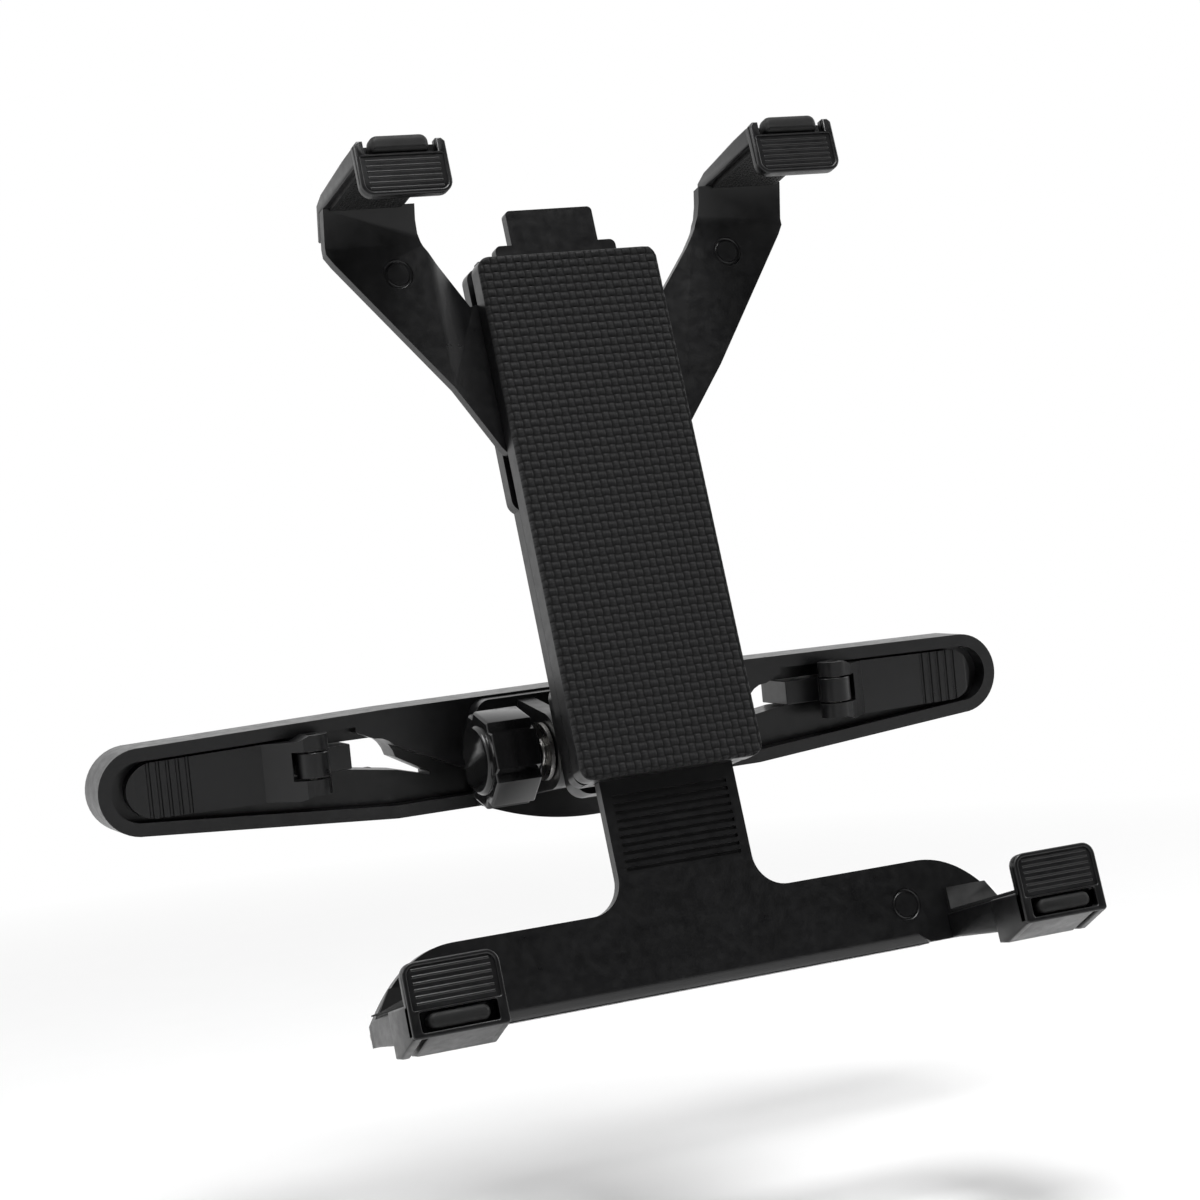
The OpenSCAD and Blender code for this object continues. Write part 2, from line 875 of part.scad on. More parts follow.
// Right arm's outline in X and Z.
module arm_outline() {
    x_in = upper_x - 1.5;
    x_out = upper_x + claw_w - 0.6;
    outline([
        [half_w - 8, -8],
        [half_w + 2, -10.5],
        [x_in - 4.5, -0.6],
        [x_in - 1.6, 4],
        [x_in - 0.4, 7],
        [x_in, 10],
        [x_in, 16],
        [x_out, 16],
        [x_out, 3.5],
        [x_out - 1.5, 1],
        [half_w, -47],
        [half_w - 8, -52]
    ]);
}

// Right arm: a sheet that steps forward beside the body and leans forward to its claw.
module arm() {
    intersection() {
        plate_y(-20, 20)
            arm_outline();
        union() {
            translate([0, 0, -70])
                linear_extrude(height = 90)
                    joggle_profile();
            along_x(joggle_end, upper_x + claw_w, upper_edge, 1)
                arm_profile(-60);
        }
    }
}

// Y shaped slider of the upper claws: plate, pull tab and two arms that lean forward.
module upper_carriage() {
    color([0.12, 0.12, 0.13])
    on_holder()
        difference() {
            union() {
                plate_y(layer_slide, layer_slide + slide_t)
                    union() {
                        translate([-half_w + wall + 0.6, carriage_low])
                            square([2 * (half_w - wall - 0.6), 0.8 - carriage_low]);
                        rounded_rect(-tab_w - 4.5, -5, tab_w + 4.5, 4.4, 1.5);
                        rounded_rect(-tab_w, -5, tab_w, tab_h, 1.2);
                    }
                for (side = [0, 1])
                    mirror([side, 0, 0])
                        arm();
            }
            // Slot round the upper screw boss
            plate_y(layer_slide - 1, layer_slide + slide_t + 1)
                rounded_rect(-boss_r - gap, top_boss_z - carriage_up - boss_r - gap,
                    boss_r + gap, top_boss_z + carriage_down + boss_r + gap, 2.9);
            upper_screw_places()
                rod_y(0, 0, 1.05, 0.4, slide_t + 1);
            // Shallow ring recess on each arm
            for (side = [-1, 1])
                translate([side * 43.5, layer_slide - arm_joggle, -2.5])
                    rotate([90, 0, 0])
                        rotate_extrude()
                            translate([3.2, 0])
                                circle(r = 0.5, $fn = 16);
        }
}

// Screws of the upper claws, square to the leaning seat, in pairs along X.
module upper_screw_places() {
    mid = seat_at(5.6);
    for (side = [-1, 1], dx = [-5, 5])
        translate([side * (upper_x + claw_w / 2) + dx, -mid[0], upper_edge + mid[1]])
            rotate([90 - atan2(seat_far[1] - seat_near[1], seat_far[0] - seat_near[0]), 0, 0])
                children();
}

// Screws of the lower claws, straight through the T, in pairs along X.
module lower_screw_places() {
    for (side = [-1, 1], dx = [-5, 5])
        translate([side * (lower_x + claw_w / 2) + dx, layer_slide, -(pad_l + lower_edge) - 12])
            children();
}

// T shaped slider of the lower claws: stem with catch ribs, cross bar and sloping ends.
module lower_bracket() {
    color([0.12, 0.12, 0.13])
    on_holder()
        difference() {
            union() {
                plate_y(layer_slide, layer_slide + slide_t)
                    t_outline();
                // Rounded lower edge of the cross bar
                rod_x(layer_slide + 3, t_low + 3, 3, -lower_x + 4, lower_x - 4);
                // Flange behind the lower edge
                translate([-lower_x + 4, layer_slide + 2, t_low])
                    cube([2 * lower_x - 8, t_flange, 2.4]);
            }
            // Slot in the stem for the return spring
            plate_y(layer_slide - 1, layer_slide + slide_t + 1)
                rounded_rect(-3, -pad_l + bracket_up + 8, 3, stem_top - 6, 2.9);
            lower_screw_places()
                rod_y(0, 0, 1.15, -1, slide_t + 1);
            // Grooves between the catch ribs
            for (i = [0 : rib_count])
                translate([-stem_w + 2.5, layer_slide - 1, -pad_l - 4.5 - rib_pitch * i])
                    cube([2 * stem_w - 5, 1.6, rib_pitch * 0.45]);
            for (side = [-1, 1])
                translate([side * (t_half - 16), layer_slide, t_low + t_h * 0.5])
                    rotate([90, 0, 0])
                        rotate_extrude()
                            translate([3.4, 0])
                                circle(r = 0.5, $fn = 16);
        }
}

module t_outline() {
    r = 8;
    difference() {
        union() {
            translate([-stem_w, t_low + 3])
                square([2 * stem_w, stem_top - t_low - 3]);
            translate([-lower_x + 4, t_low + 3])
                square([2 * lower_x - 8, t_h - 3]);
            translate([-stem_w - r, t_top - 1])
                square([2 * (stem_w + r), r + 1]);
            t_end_outline();
            mirror([1, 0])
                t_end_outline();
        }
        for (side = [-1, 1])
            translate([side * (stem_w + r), t_top + r])
                circle(r = r);
    }
}

// Right end of the T, sloping down to the claw's outer side.
module t_end_outline() {
    x_out = lower_x + claw_w - 3.8;
    outline([
        [lower_x - 8, t_top],
        [t_half - 0.5, t_top - 1],
        [t_half + 5.5, t_top - 6.5],
        [x_out, t_top - 15],
        [x_out, t_low + 0.2],
        [lower_x - 4.5, t_low + 0.2],
        [lower_x - 8, t_low + 3]
    ]);
}

// Side profile of a lip and its floor in forward and outward distances from the lip's free edge.
function lip_points(h) = [
    [lip_back - 1.6, rest_s],
    [lip_back, rest_s - 1.6],
    [lip_back, 0.8],
    [lip_back + 0.6, 0],
    [lip_reach - 0.8, 0],
    [lip_reach, 0.8],
    [lip_reach, h - 0.8],
    [lip_reach - 0.8, h]
];
// Upper claw: straight floor on the arm's end, and a lug down the arm's back.
upper_points = concat(lip_points(upper_lip_h), [
    [block_n + 3, upper_lip_h],
    [2, upper_lip_h - 0.8],
    seat_at(11) - [arm_step + lug_step, 0],
    seat_at(lug_s) - [arm_step + lug_step, 0],
    seat_at(lug_s) - [arm_step, 0],
    seat_at(rest_s) - [arm_step, 0],
    seat_far
]);
// Lower claw: the floor meets the T's front face and its block slopes down behind the lip.
lower_points = concat(lip_points(lip_h), [
    [block_n + 3.5, lip_h + 3],
    [block_n, lip_h + 2.6],
    [block_n - 2.5, lip_h],
    [-layer_slide, lip_h - 1.6],
    [-layer_slide, rest_s]
]);

// Front view of a claw, with the free corners of the lip rounded.
module claw_front(inner_x) {
    r = 2.8;
    union() {
        translate([inner_x + r, 0])
            square([claw_w - 2 * r, r + 1]);
        translate([inner_x, r])
            square([claw_w, lip_h + 5]);
        for (x = [inner_x + r, inner_x + claw_w - r])
            translate([x, r])
                circle(r = r);
    }
}

// Claw: floor, block with a window, and a ribbed lip.
module claw(right, inner_x, z0, dir) {
    points = dir > 0 ? upper_points : lower_points;
    inset = dir > 0 ? 0.6 : 1.4;
    outer_inset = dir > 0 ? 0.6 : 3.4;
    color([0.11, 0.11, 0.12])
    on_holder()
        difference() {
            left_or_right(right)
                difference() {
                    union() {
                        intersection() {
                            along_x(inner_x, inner_x + claw_w, z0, dir)
                                intersection() {
                                    outline(points);
                                    translate([block_n, -2])
                                        square([40, 30]);
                                }
                            plate_y(-60, 0)
                                translate([0, z0])
                                    scale([1, dir])
                                        claw_front(inner_x);
                        }
                        along_x(inner_x + inset, inner_x + claw_w - outer_inset, z0, dir)
                            intersection() {
                                outline(points);
                                translate([-30, -8])
                                    square([block_n + 31, 40]);
                            }
                    }
                    // Window in the front of the block, open at the top of an upper claw
                    along_x(inner_x + window_margin, inner_x + claw_w - window_margin, z0, dir)
                        translate([lip_reach - window_depth, dir > 0 ? upper_window_s : window_s])
                            square([window_depth + 1, dir > 0 ? upper_lip_h : window_h]);
                    // Grooves across the lip
                    for (i = [0 : 4])
                        along_x(inner_x + 2, inner_x + claw_w - 2, z0, dir)
                            translate([lip_reach - 0.4, 1.9 + 1.6 * i])
                                square([1, 0.6]);
                }
            if (dir > 0)
                upper_screw_places()
                    rod_y(0, 0, 1.15, slide_t - 0.5, slide_t + lug_t + 4);
            else
                lower_screw_places()
                    rod_y(0, 0, 1.05, -9, 1);
        }
}

// Rubber lining of a claw's floor. In a lower claw it also climbs the T's front face.
module grip(right, inner_x, z0, dir) {
    color([0.17, 0.17, 0.17])
    on_holder()
        left_or_right(right)
            along_x(inner_x + 2.2, inner_x + claw_w - (dir > 0 ? 2.2 : 3.8), z0, dir)
                union() {
                    translate([dir > 0 ? seat_far[0] + 0.3 : -layer_slide, rest_s - lining_t])
                        square([lip_back - 1.8 - (dir > 0 ? seat_far[0] + 0.3 : -layer_slide), lining_t]);
                    if (dir < 0)
                        translate([-layer_slide, 2.4])
                            square([lining_t, rest_s - 2.4]);
                }
}

// Rubber bumper that shows in the window of a claw, and stands above an upper one.
module bumper(right, inner_x, z0, dir) {
    low = dir > 0 ? upper_window_s : window_s;
    high = dir > 0 ? upper_lip_h + 1.3 : window_s + window_h;
    color([0.15, 0.15, 0.15])
    on_holder()
        left_or_right(right)
            along_x(inner_x + 3.4, inner_x + claw_w - 3.4, z0, dir)
                translate([lip_reach - window_depth, low])
                    rounded_rect(0, 0, window_depth + 0.3, high - low, 1.5);
}

module screw(length) {
    difference() {
        union() {
            rod_y(0, 0, 1, -length, 0);
            rod_y(0, 0, 2, 0, 1.2);
        }
        rod_y(0, 0, 0.8, 0.6, 2);
    }
}

// Screws from behind: through each upper lug into the arm, and through the T into each lower claw.
module claw_screws(upper) {
    color([0.6, 0.6, 0.62])
    on_holder()
        if (upper)
            upper_screw_places()
                translate([0, slide_t + lug_t, 0])
                    screw(slide_t + lug_t - 0.6);
        else
            lower_screw_places()
                translate([0, slide_t, 0])
                    screw(slide_t + 8);
}

upper_z = upper_edge;
lower_z = -(pad_l + lower_edge);

seat_bar();
back_pad(false);  // back_pad_left
back_pad(true);  // back_pad_right
hinge_base();
hinge_base_screws();
clamp_nut();
hook(false);  // hook_left
hook(true);  // hook_right
hook_liner(false);  // hook_liner_left
hook_liner(true);  // hook_liner_right
lever(false);  // lever_left
lever(true);  // lever_right
lever_pin(false);  // lever_pin_left
lever_pin(true);  // lever_pin_right
tilt_block();
swivel_retainer();
retainer_screws();
tilt_knob();
clamp_screw();
knob_washer();
front_plate();
foam_pad();
rear_cover();
cover_screws();
stem_catch();
upper_carriage();
lower_bracket();
claw(false, upper_x, upper_z, 1);  // claw_upper_left
claw(true, upper_x, upper_z, 1);  // claw_upper_right
claw(false, lower_x, lower_z, -1);  // claw_lower_left
claw(true, lower_x, lower_z, -1);  // claw_lower_right
grip(false, upper_x, upper_z, 1);  // grip_upper_left
grip(true, upper_x, upper_z, 1);  // grip_upper_right
grip(false, lower_x, lower_z, -1);  // grip_lower_left
grip(true, lower_x, lower_z, -1);  // grip_lower_right
bumper(false, upper_x, upper_z, 1);  // bumper_upper_left
bumper(true, upper_x, upper_z, 1);  // bumper_upper_right
bumper(false, lower_x, lower_z, -1);  // bumper_lower_left
bumper(true, lower_x, lower_z, -1);  // bumper_lower_right
claw_screws(true);  // upper_claw_screws
claw_screws(false);  // lower_claw_screws
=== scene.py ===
import json
import math
import bpy
import bmesh
from mathutils import Vector, Matrix


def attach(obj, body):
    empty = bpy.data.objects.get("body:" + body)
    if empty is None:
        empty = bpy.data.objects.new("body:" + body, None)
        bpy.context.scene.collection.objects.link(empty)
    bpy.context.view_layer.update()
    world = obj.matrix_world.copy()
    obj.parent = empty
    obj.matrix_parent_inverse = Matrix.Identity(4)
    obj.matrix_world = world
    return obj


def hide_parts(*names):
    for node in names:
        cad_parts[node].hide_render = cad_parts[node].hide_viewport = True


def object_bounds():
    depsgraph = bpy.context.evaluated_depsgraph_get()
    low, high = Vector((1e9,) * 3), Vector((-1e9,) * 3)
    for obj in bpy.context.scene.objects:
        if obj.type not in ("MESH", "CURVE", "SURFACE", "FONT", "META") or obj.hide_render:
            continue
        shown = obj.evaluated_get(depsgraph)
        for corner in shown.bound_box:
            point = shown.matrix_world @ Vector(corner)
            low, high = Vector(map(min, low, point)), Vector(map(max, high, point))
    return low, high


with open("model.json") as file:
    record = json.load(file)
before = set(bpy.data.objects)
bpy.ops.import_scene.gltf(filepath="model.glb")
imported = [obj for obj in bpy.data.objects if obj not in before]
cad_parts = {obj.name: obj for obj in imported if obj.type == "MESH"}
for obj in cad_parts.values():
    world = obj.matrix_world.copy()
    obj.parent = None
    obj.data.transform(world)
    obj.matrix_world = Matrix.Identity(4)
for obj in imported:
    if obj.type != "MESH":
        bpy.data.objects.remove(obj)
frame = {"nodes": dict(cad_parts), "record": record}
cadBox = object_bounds()
nodes = frame["nodes"]
mm = 0.001

# The holder leans back about the tilt axis. In pad coordinates x runs right, y back from the foam's front
# and z up from the pad's top edge. Sizes are in millimetres unless a name says otherwise.
holder = dict(tiltY=-32.5, lean=15, padToTilt=34, hubDrop=115, padWidth=47, padLength=128, cornerR=3,
              layerSlide=6.25, slideT=2.8)
padMatrix = (Matrix.Translation((0, holder["tiltY"] * mm, 0))
             @ Matrix.Rotation(-math.radians(holder["lean"]), 4, "X")
             @ Matrix.Translation((0, -holder["padToTilt"] * mm, holder["hubDrop"] * mm)))
toMetres = Matrix.Scale(mm, 4)

# Camera at the photograph's angle
view = dict(place=(-0.2685, -0.6424, 0.0743), right=(0.908, -0.4072, -0.098),
            forward=(0.403, 0.9128, -0.0592), lens=82.0)


def setCamera():
    data = bpy.data.cameras.new("camera")
    data.sensor_width = 36
    data.lens = view["lens"]
    data.clip_start, data.clip_end = 0.01, 50
    cam = bpy.data.objects.new("camera", data)
    bpy.context.scene.collection.objects.link(cam)
    forward = Vector(view["forward"]).normalized()
    right = Vector(view["right"])
    right = (right - forward * right.dot(forward)).normalized()
    pose = Matrix((right, right.cross(forward), -forward)).transposed().to_4x4()
    pose.translation = Vector(view["place"])
    cam.matrix_world = pose
    bpy.context.scene.camera = cam


setCamera()
print("camera placed")


# Materials
class Shader:
    def __init__(self, name, color, rough, specular=0.5, metal=0.0, sheen=0.0, coat=0.0):
        self.mat = bpy.data.materials.new(name)
        self.mat.use_nodes = True
        self.tree = self.mat.node_tree
        self.tree.nodes.clear()
        self.out = self.add("ShaderNodeOutputMaterial")
        self.bsdf = self.add("ShaderNodeBsdfPrincipled")
        self.link(self.bsdf.outputs[0], self.out.inputs["Surface"])
        values = {"Base Color": (*color, 1), "Roughness": rough, "Specular IOR Level": specular,
                  "Metallic": metal, "Sheen Weight": sheen, "Coat Weight": coat}
        for key, value in values.items():
            self.bsdf.inputs[key].default_value = value
        self.coord = self.add("ShaderNodeTexCoord").outputs["Object"]

    def add(self, kind, **values):
        n = self.tree.nodes.new(kind)
        for key, value in values.items():
            setattr(n, key, value)
        return n

    def link(self, a, b):
        self.tree.links.new(a, b)

    def feed(self, src, socket):
        self.link(src, self.bsdf.inputs[socket])

    def noise(self, scale, detail=3, rough=0.55, stretch=(1, 1, 1)):
        m = self.add("ShaderNodeMapping")
        m.inputs["Scale"].default_value = stretch
        self.link(self.coord, m.inputs["Vector"])
        n = self.add("ShaderNodeTexNoise")
        n.inputs["Scale"].default_value = scale
        n.inputs["Detail"].default_value = detail
        n.inputs["Roughness"].default_value = rough
        self.link(m.outputs[0], n.inputs["Vector"])
        return n.outputs[0]

    def ramp(self, src, low, high, a, b):
        n = self.add("ShaderNodeMapRange")
        for i, value in enumerate((low, high, a, b), 1):
            n.inputs[i].default_value = value
        self.link(src, n.inputs[0])
        return n.outputs[0]

    def mixColor(self, fac, a, b):
        n = self.add("ShaderNodeMix", data_type="RGBA")
        self.link(fac, n.inputs[0])
        n.inputs[6].default_value = (*a, 1)
        n.inputs[7].default_value = (*b, 1)
        return n.outputs[2]

    def math(self, op, a, b=None):
        n = self.add("ShaderNodeMath", operation=op)
        for i, value in enumerate((a, b)):
            if isinstance(value, (int, float)):
                n.inputs[i].default_value = value
            elif value is not None:
                self.link(value, n.inputs[i])
        return n.outputs[0]

    def bump(self, height, strength, distance):
        n = self.add("ShaderNodeBump")
        n.inputs["Strength"].default_value = strength
        n.inputs["Distance"].default_value = distance
        self.link(height, n.inputs["Height"])
        self.feed(n.outputs[0], "Normal")

    # Object coordinates turned so that X and Z lie in the leaning pad
    def inPad(self):
        n = self.add("ShaderNodeVectorRotate", rotation_type="X_AXIS")
        n.inputs["Angle"].default_value = math.radians(holder["lean"])
        self.link(self.coord, n.inputs["Vector"])
        return n.outputs[0]


def shades(color, low, high):
    return [c * low for c in color], [c * high for c in color]


# Moulded plastic: cloudy tone, uneven gloss, fine spark-eroded grain, faint rubbed marks
def plastic(name, color, rough, grain, specular=0.4):
    s = Shader(name, color, rough, specular)
    cloud = s.ramp(s.noise(90), 0.35, 0.65, 0, 1)
    s.feed(s.mixColor(cloud, *shades(color, 0.82, 1.22)), "Base Color")
    rubbed = s.ramp(s.noise(60, 4, 0.6, (1, 1, 5)), 0.55, 0.75, 0, 0.04)
    gloss = s.math("SUBTRACT", s.ramp(s.noise(420), 0.3, 0.7, rough - 0.04, rough + 0.07), rubbed)
    s.feed(gloss, "Roughness")
    s.bump(s.noise(5200, 2, 0.6), grain, 0.0001)
    return s.mat


def rubber(name, color):
    s = Shader(name, color, 0.62, 0.35)
    s.feed(s.mixColor(s.noise(500), *shades(color, 0.7, 1.4)), "Base Color")
    s.feed(s.ramp(s.noise(260), 0.3, 0.7, 0.52, 0.72), "Roughness")
    s.bump(s.noise(3800, 3, 0.6), 0.25, 0.0001)
    return s.mat


# The foam's weave as painted shade in its hollows and painted light on its crests, with fine threads, in step
# with the relief of its mesh
def foam(name, color, pitch):
    s = Shader(name, color, 0.66, 0.25, sheen=0.04)
    sep = s.add("ShaderNodeSeparateXYZ")
    s.link(s.inPad(), sep.inputs[0])
    padTop = (Matrix.Rotation(math.radians(holder["lean"]), 4, "X") @ padMatrix.translation).z
    x = s.math("DIVIDE", sep.outputs[0], pitch * mm)
    z = s.math("DIVIDE", s.math("SUBTRACT", sep.outputs[2], padTop), pitch * mm)
    # An even number is added, because the remainder of a negative sum would be negative
    whole = s.math("ADD", s.math("FLOOR", x), s.math("FLOOR", z))
    chequer = s.math("MODULO", s.math("ADD", whole, 400), 2)
    u, v = s.math("FRACT", x), s.math("FRACT", z)

    def wave(src, halves):
        return s.math("ABSOLUTE", s.math("SINE", s.math("MULTIPLY", src, math.pi * halves)))

    def bundle(along, over):
        threads = s.math("ADD", s.math("MULTIPLY", wave(over, 3), 0.3), 0.7)
        return s.math("MULTIPLY", threads, wave(along, 1))

    m = s.add("ShaderNodeMix", data_type="FLOAT")
    s.link(chequer, m.inputs[0])
    s.link(bundle(v, u), m.inputs[2])
    s.link(bundle(u, v), m.inputs[3])
    height = m.outputs[0]
    # Base colour from the weave's height: painted shade in the hollows, painted light on the crests
    s.feed(s.mixColor(s.ramp(height, 0.1, 0.9, 0, 1), *shades(color, 0.12, 1.9)), "Base Color")
    s.feed(s.ramp(height, 0, 1, 0.9, 0.55), "Roughness")
    s.bump(s.math("ADD", height, s.math("MULTIPLY", s.noise(6000, 2), 0.2)), 0.5, 0.00025)
    return s.mat


def steel(name, color, rough):
    s = Shader(name, color, rough, metal=1.0)
    s.feed(s.mixColor(s.ramp(s.noise(300), 0.3, 0.7, 0, 1), *shades(color, 0.72, 1.0)), "Base Color")
    s.feed(s.ramp(s.noise(900), 0.3, 0.7, rough - 0.06, rough + 0.12), "Roughness")
    s.bump(s.noise(2500, 2), 0.08, 0.0001)
    return s.mat


weave = dict(pitch=2.05, relief=0.42, bow=0.7, flat=5, samples=6, thick=1.5, edge=0.5)
mats = {
    "plastic": plastic("blackPlastic", (0.0036, 0.0036, 0.004), 0.33, 0.12, 0.5),
    "gloss": plastic("knobPlastic", (0.004, 0.004, 0.0042), 0.14, 0.03, 0.5),
    "rubber": rubber("blackRubber", (0.0055, 0.0055, 0.0055)),
    "foam": foam("wovenFoam", (0.004, 0.004, 0.0043), weave["pitch"]),
    "steel": steel("zincSteel", (0.58, 0.57, 0.55), 0.28),
}


def matFor(node):
    if node == "foam_pad":
        return "foam"
    if node == "tilt_knob":
        return "gloss"
    if any(w in node for w in ("liner", "grip_", "back_pad", "bumper")):
        return "rubber"
    if any(w in node for w in ("screw", "pin", "washer", "retainer", "nut", "catch")):
        return "steel"
    return "plastic"


def dress(mesh, mat):
    mesh.materials.clear()
    mesh.materials.append(mats[mat])


for name, obj in nodes.items():
    dress(obj.data, matFor(name))
print("materials assigned")


# Finishing of every piece: its body and the node that it stands for; its slot is only looked up
def bodyOf(node):
    for body, members in frame["record"]["behaviour"]["bodies"].items():
        if node in members:
            return body


def slotOf(node):
    return next(p["material_slot"] for p in frame["record"]["subparts"] if p["node"] == node)


def smooth(mesh, angle=38):
    for p in mesh.polygons:
        p.use_smooth = True
    mesh.set_sharp_from_angle(angle=math.radians(angle))


def place(name, mesh, node, replaces=True, mat=None):
    obj = bpy.data.objects.new(name, mesh)
    bpy.context.scene.collection.objects.link(obj)
    dress(mesh, mat or matFor(node))
    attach(obj, bodyOf(node))
    if replaces:
        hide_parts(node)
    slotOf(node)
    return obj


def plainName(node):
    first, *rest = node.split("_")
    return first + "".join(w.capitalize() for w in rest)


def applied(mesh, kind, **values):
    obj = bpy.data.objects.new("work", mesh)
    bpy.context.scene.collection.objects.link(obj)
    mod = obj.modifiers.new("step", kind)
    for key, value in values.items():
        setattr(mod, key, value)
    done = bpy.data.meshes.new_from_object(obj.evaluated_get(bpy.context.evaluated_depsgraph_get()))
    bpy.data.objects.remove(obj)
    return done


# Large flat faces lead the shading, so that they stay even beside small roundings
def evenNormals(mesh):
    smooth(mesh)
    return applied(mesh, "WEIGHTED_NORMAL", keep_sharp=True, weight=100)


def joined(meshes):
    bm = bmesh.new()
    for mesh in meshes:
        bm.from_mesh(mesh)
    out = bpy.data.meshes.new("joined")
    bm.to_mesh(out)
    bm.free()
    return out


# Rounded copies of the CAD shapes. Small faces beside an edge make its radius smaller.
rounding = dict(
    seat_bar=1.1, hinge_base=0.8, front_plate=0.6, rear_cover=0.8, upper_carriage=0.55, lower_bracket=0.55,
    tilt_block=0.9, lever_left=0.6, lever_right=0.6, hook_left=0.7, hook_right=0.7,
    back_pad_left=0.3, back_pad_right=0.3,
)
# Grooves and slots across the middle are halved first, so that no face there has a hole in it
splitInMiddle = ("lower_bracket", "upper_carriage")
edgeLook = dict(sharpAngle=34, merge=2e-6, flatAngle=0.4, share=0.4, steps=3)


# Ends of the T in pad millimetres: the corners of its solid, and the curve that takes their place
tEnd = dict(corners=[(60.1, -158.6), (60.1, -158.876), (70.6, -159.6), (76.6, -165.1), (82.2, -173.6)],
            curve=[(60, -158.6), (71, -158.6), (77.7, -166.8), (82.2, -173.6)], cuts=7, near=0.06,
            shortest=2, merge=0.02, halvings=24)


def onCorners(p):
    for (x0, z0), (x1, z1) in zip(tEnd["corners"], tEnd["corners"][1:]):
        along = Vector((x1 - x0, z1 - z0))
        rel = Vector((abs(p.x) - x0, p.z - z0))
        share = min(1, max(0, rel.dot(along) / along.dot(along)))
        if (rel - along * share).length < tEnd["near"]:
            return True
    return False


def onCurve(x):
    low, high = 0.0, 1.0
    for _ in range(tEnd["halvings"]):
        mid = (low + high) / 2
        weights = ((1 - mid) ** 3, 3 * mid * (1 - mid) ** 2, 3 * mid * mid * (1 - mid), mid ** 3)
        at = [sum(w * c[axis] for w, c in zip(weights, tEnd["curve"])) for axis in (0, 1)]
        low, high = (mid, high) if at[0] < x else (low, mid)
    return at[1]


# Splits the straight edges at the ends of the T and lays them on the curve
def easeEnds(bm):
    toPad = (padMatrix @ toMetres).inverted()
    bm.transform(toPad)
    edges = [e for e in bm.edges if all(onCorners(v.co) for v in e.verts)
             and abs(e.verts[0].co.y - e.verts[1].co.y) < tEnd["near"] and e.calc_length() > tEnd["shortest"]]
    bmesh.ops.subdivide_edges(bm, edges=edges, cuts=tEnd["cuts"], use_grid_fill=True)
    for v in bm.verts:
        if onCorners(v.co):
            v.co.z = onCurve(abs(v.co.x))
    bmesh.ops.remove_doubles(bm, verts=bm.verts, dist=tEnd["merge"])
    bm.transform(toPad.inverted())


def roundedCopy(node, width):
    bm = bmesh.new()
    bm.from_mesh(nodes[node].data)
    bmesh.ops.remove_doubles(bm, verts=bm.verts, dist=edgeLook["merge"])
    if node in splitInMiddle:
        cut = bmesh.ops.bisect_plane(bm, geom=bm.verts[:] + bm.edges[:] + bm.faces[:], plane_co=(0, 0, 0),
                                     plane_no=(1, 0, 0))["geom_cut"]
        for edge in (e for e in cut if isinstance(e, bmesh.types.BMEdge)):
            edge.seam = True
    flat = math.radians(edgeLook["flatAngle"])
    bmesh.ops.dissolve_limit(bm, angle_limit=flat, verts=bm.verts, edges=bm.edges, delimit={"SEAM"})
    if node == "lower_bracket":
        easeEnds(bm)
    weights = bm.edges.layers.float.new("bevel_weight_edge")
    for edge in bm.edges:
        if len(edge.link_faces) != 2 or edge.calc_face_angle(0) < math.radians(edgeLook["sharpAngle"]):
            continue
        a, b = (v.co for v in edge.verts)
        along = (b - a).normalized()
        room = min(max((v.co - a - along * (v.co - a).dot(along)).length for v in f.verts)
                   for f in edge.link_faces)
        edge[weights] = min(1, edgeLook["share"] * room / (width * mm))
    mesh = bpy.data.meshes.new(plainName(node))
    bm.to_mesh(mesh)
    bm.free()
    mesh = applied(mesh, "BEVEL", width=width * mm, segments=edgeLook["steps"], limit_method="WEIGHT",
                   use_clamp_overlap=True, miter_outer="MITER_ARC")
    return place(plainName(node), evenNormals(mesh), node)


for node, width in rounding.items():
    roundedCopy(node, width)
print("rounded copies made")


# A flat piece from closed outlines in millimetres, with rounded edges. It lies in XY and is centred on z 0.
def flatPiece(outlines, thick, edge):
    curve = bpy.data.curves.new("outline", "CURVE")
    curve.dimensions = "2D"
    curve.fill_mode = "BOTH"
    curve.extrude = thick / 2 - edge
    curve.bevel_depth = edge
    curve.bevel_resolution = 2
    curve.offset = -edge
    for points in outlines:
        spline = curve.splines.new("POLY")
        spline.points.add(len(points) - 1)
        for p, (x, y) in zip(spline.points, points):
            p.co = (x, y, 0, 1)
        spline.use_cyclic_u = True
    obj = bpy.data.objects.new("outline", curve)
    bpy.context.scene.collection.objects.link(obj)
    mesh = bpy.data.meshes.new_from_object(obj.evaluated_get(bpy.context.evaluated_depsgraph_get()))
    bpy.data.objects.remove(obj)
    bm = bmesh.new()
    bm.from_mesh(mesh)
    bmesh.ops.remove_doubles(bm, verts=bm.verts, dist=1e-4)
    bmesh.ops.recalc_face_normals(bm, faces=bm.faces)
    bm.to_mesh(mesh)
    bm.free()
    return mesh


def arc(cx, cy, r, a0, a1, steps=6):
    return [(cx + r * math.cos(math.radians(a0 + (a1 - a0) * i / steps)),
             cy + r * math.sin(math.radians(a0 + (a1 - a0) * i / steps))) for i in range(steps + 1)]


# Rectangle with its own radius at each corner: low left, low right, top right, top left
def roundRect(x0, y0, x1, y1, radii):
    r0, r1, r2, r3 = radii
    return (arc(x0 + r0, y0 + r0, r0, 180, 270) + arc(x1 - r1, y0 + r1, r1, 270, 360)
            + arc(x1 - r2, y1 - r2, r2, 0, 90) + arc(x0 + r3, y1 - r3, r3, 90, 180))


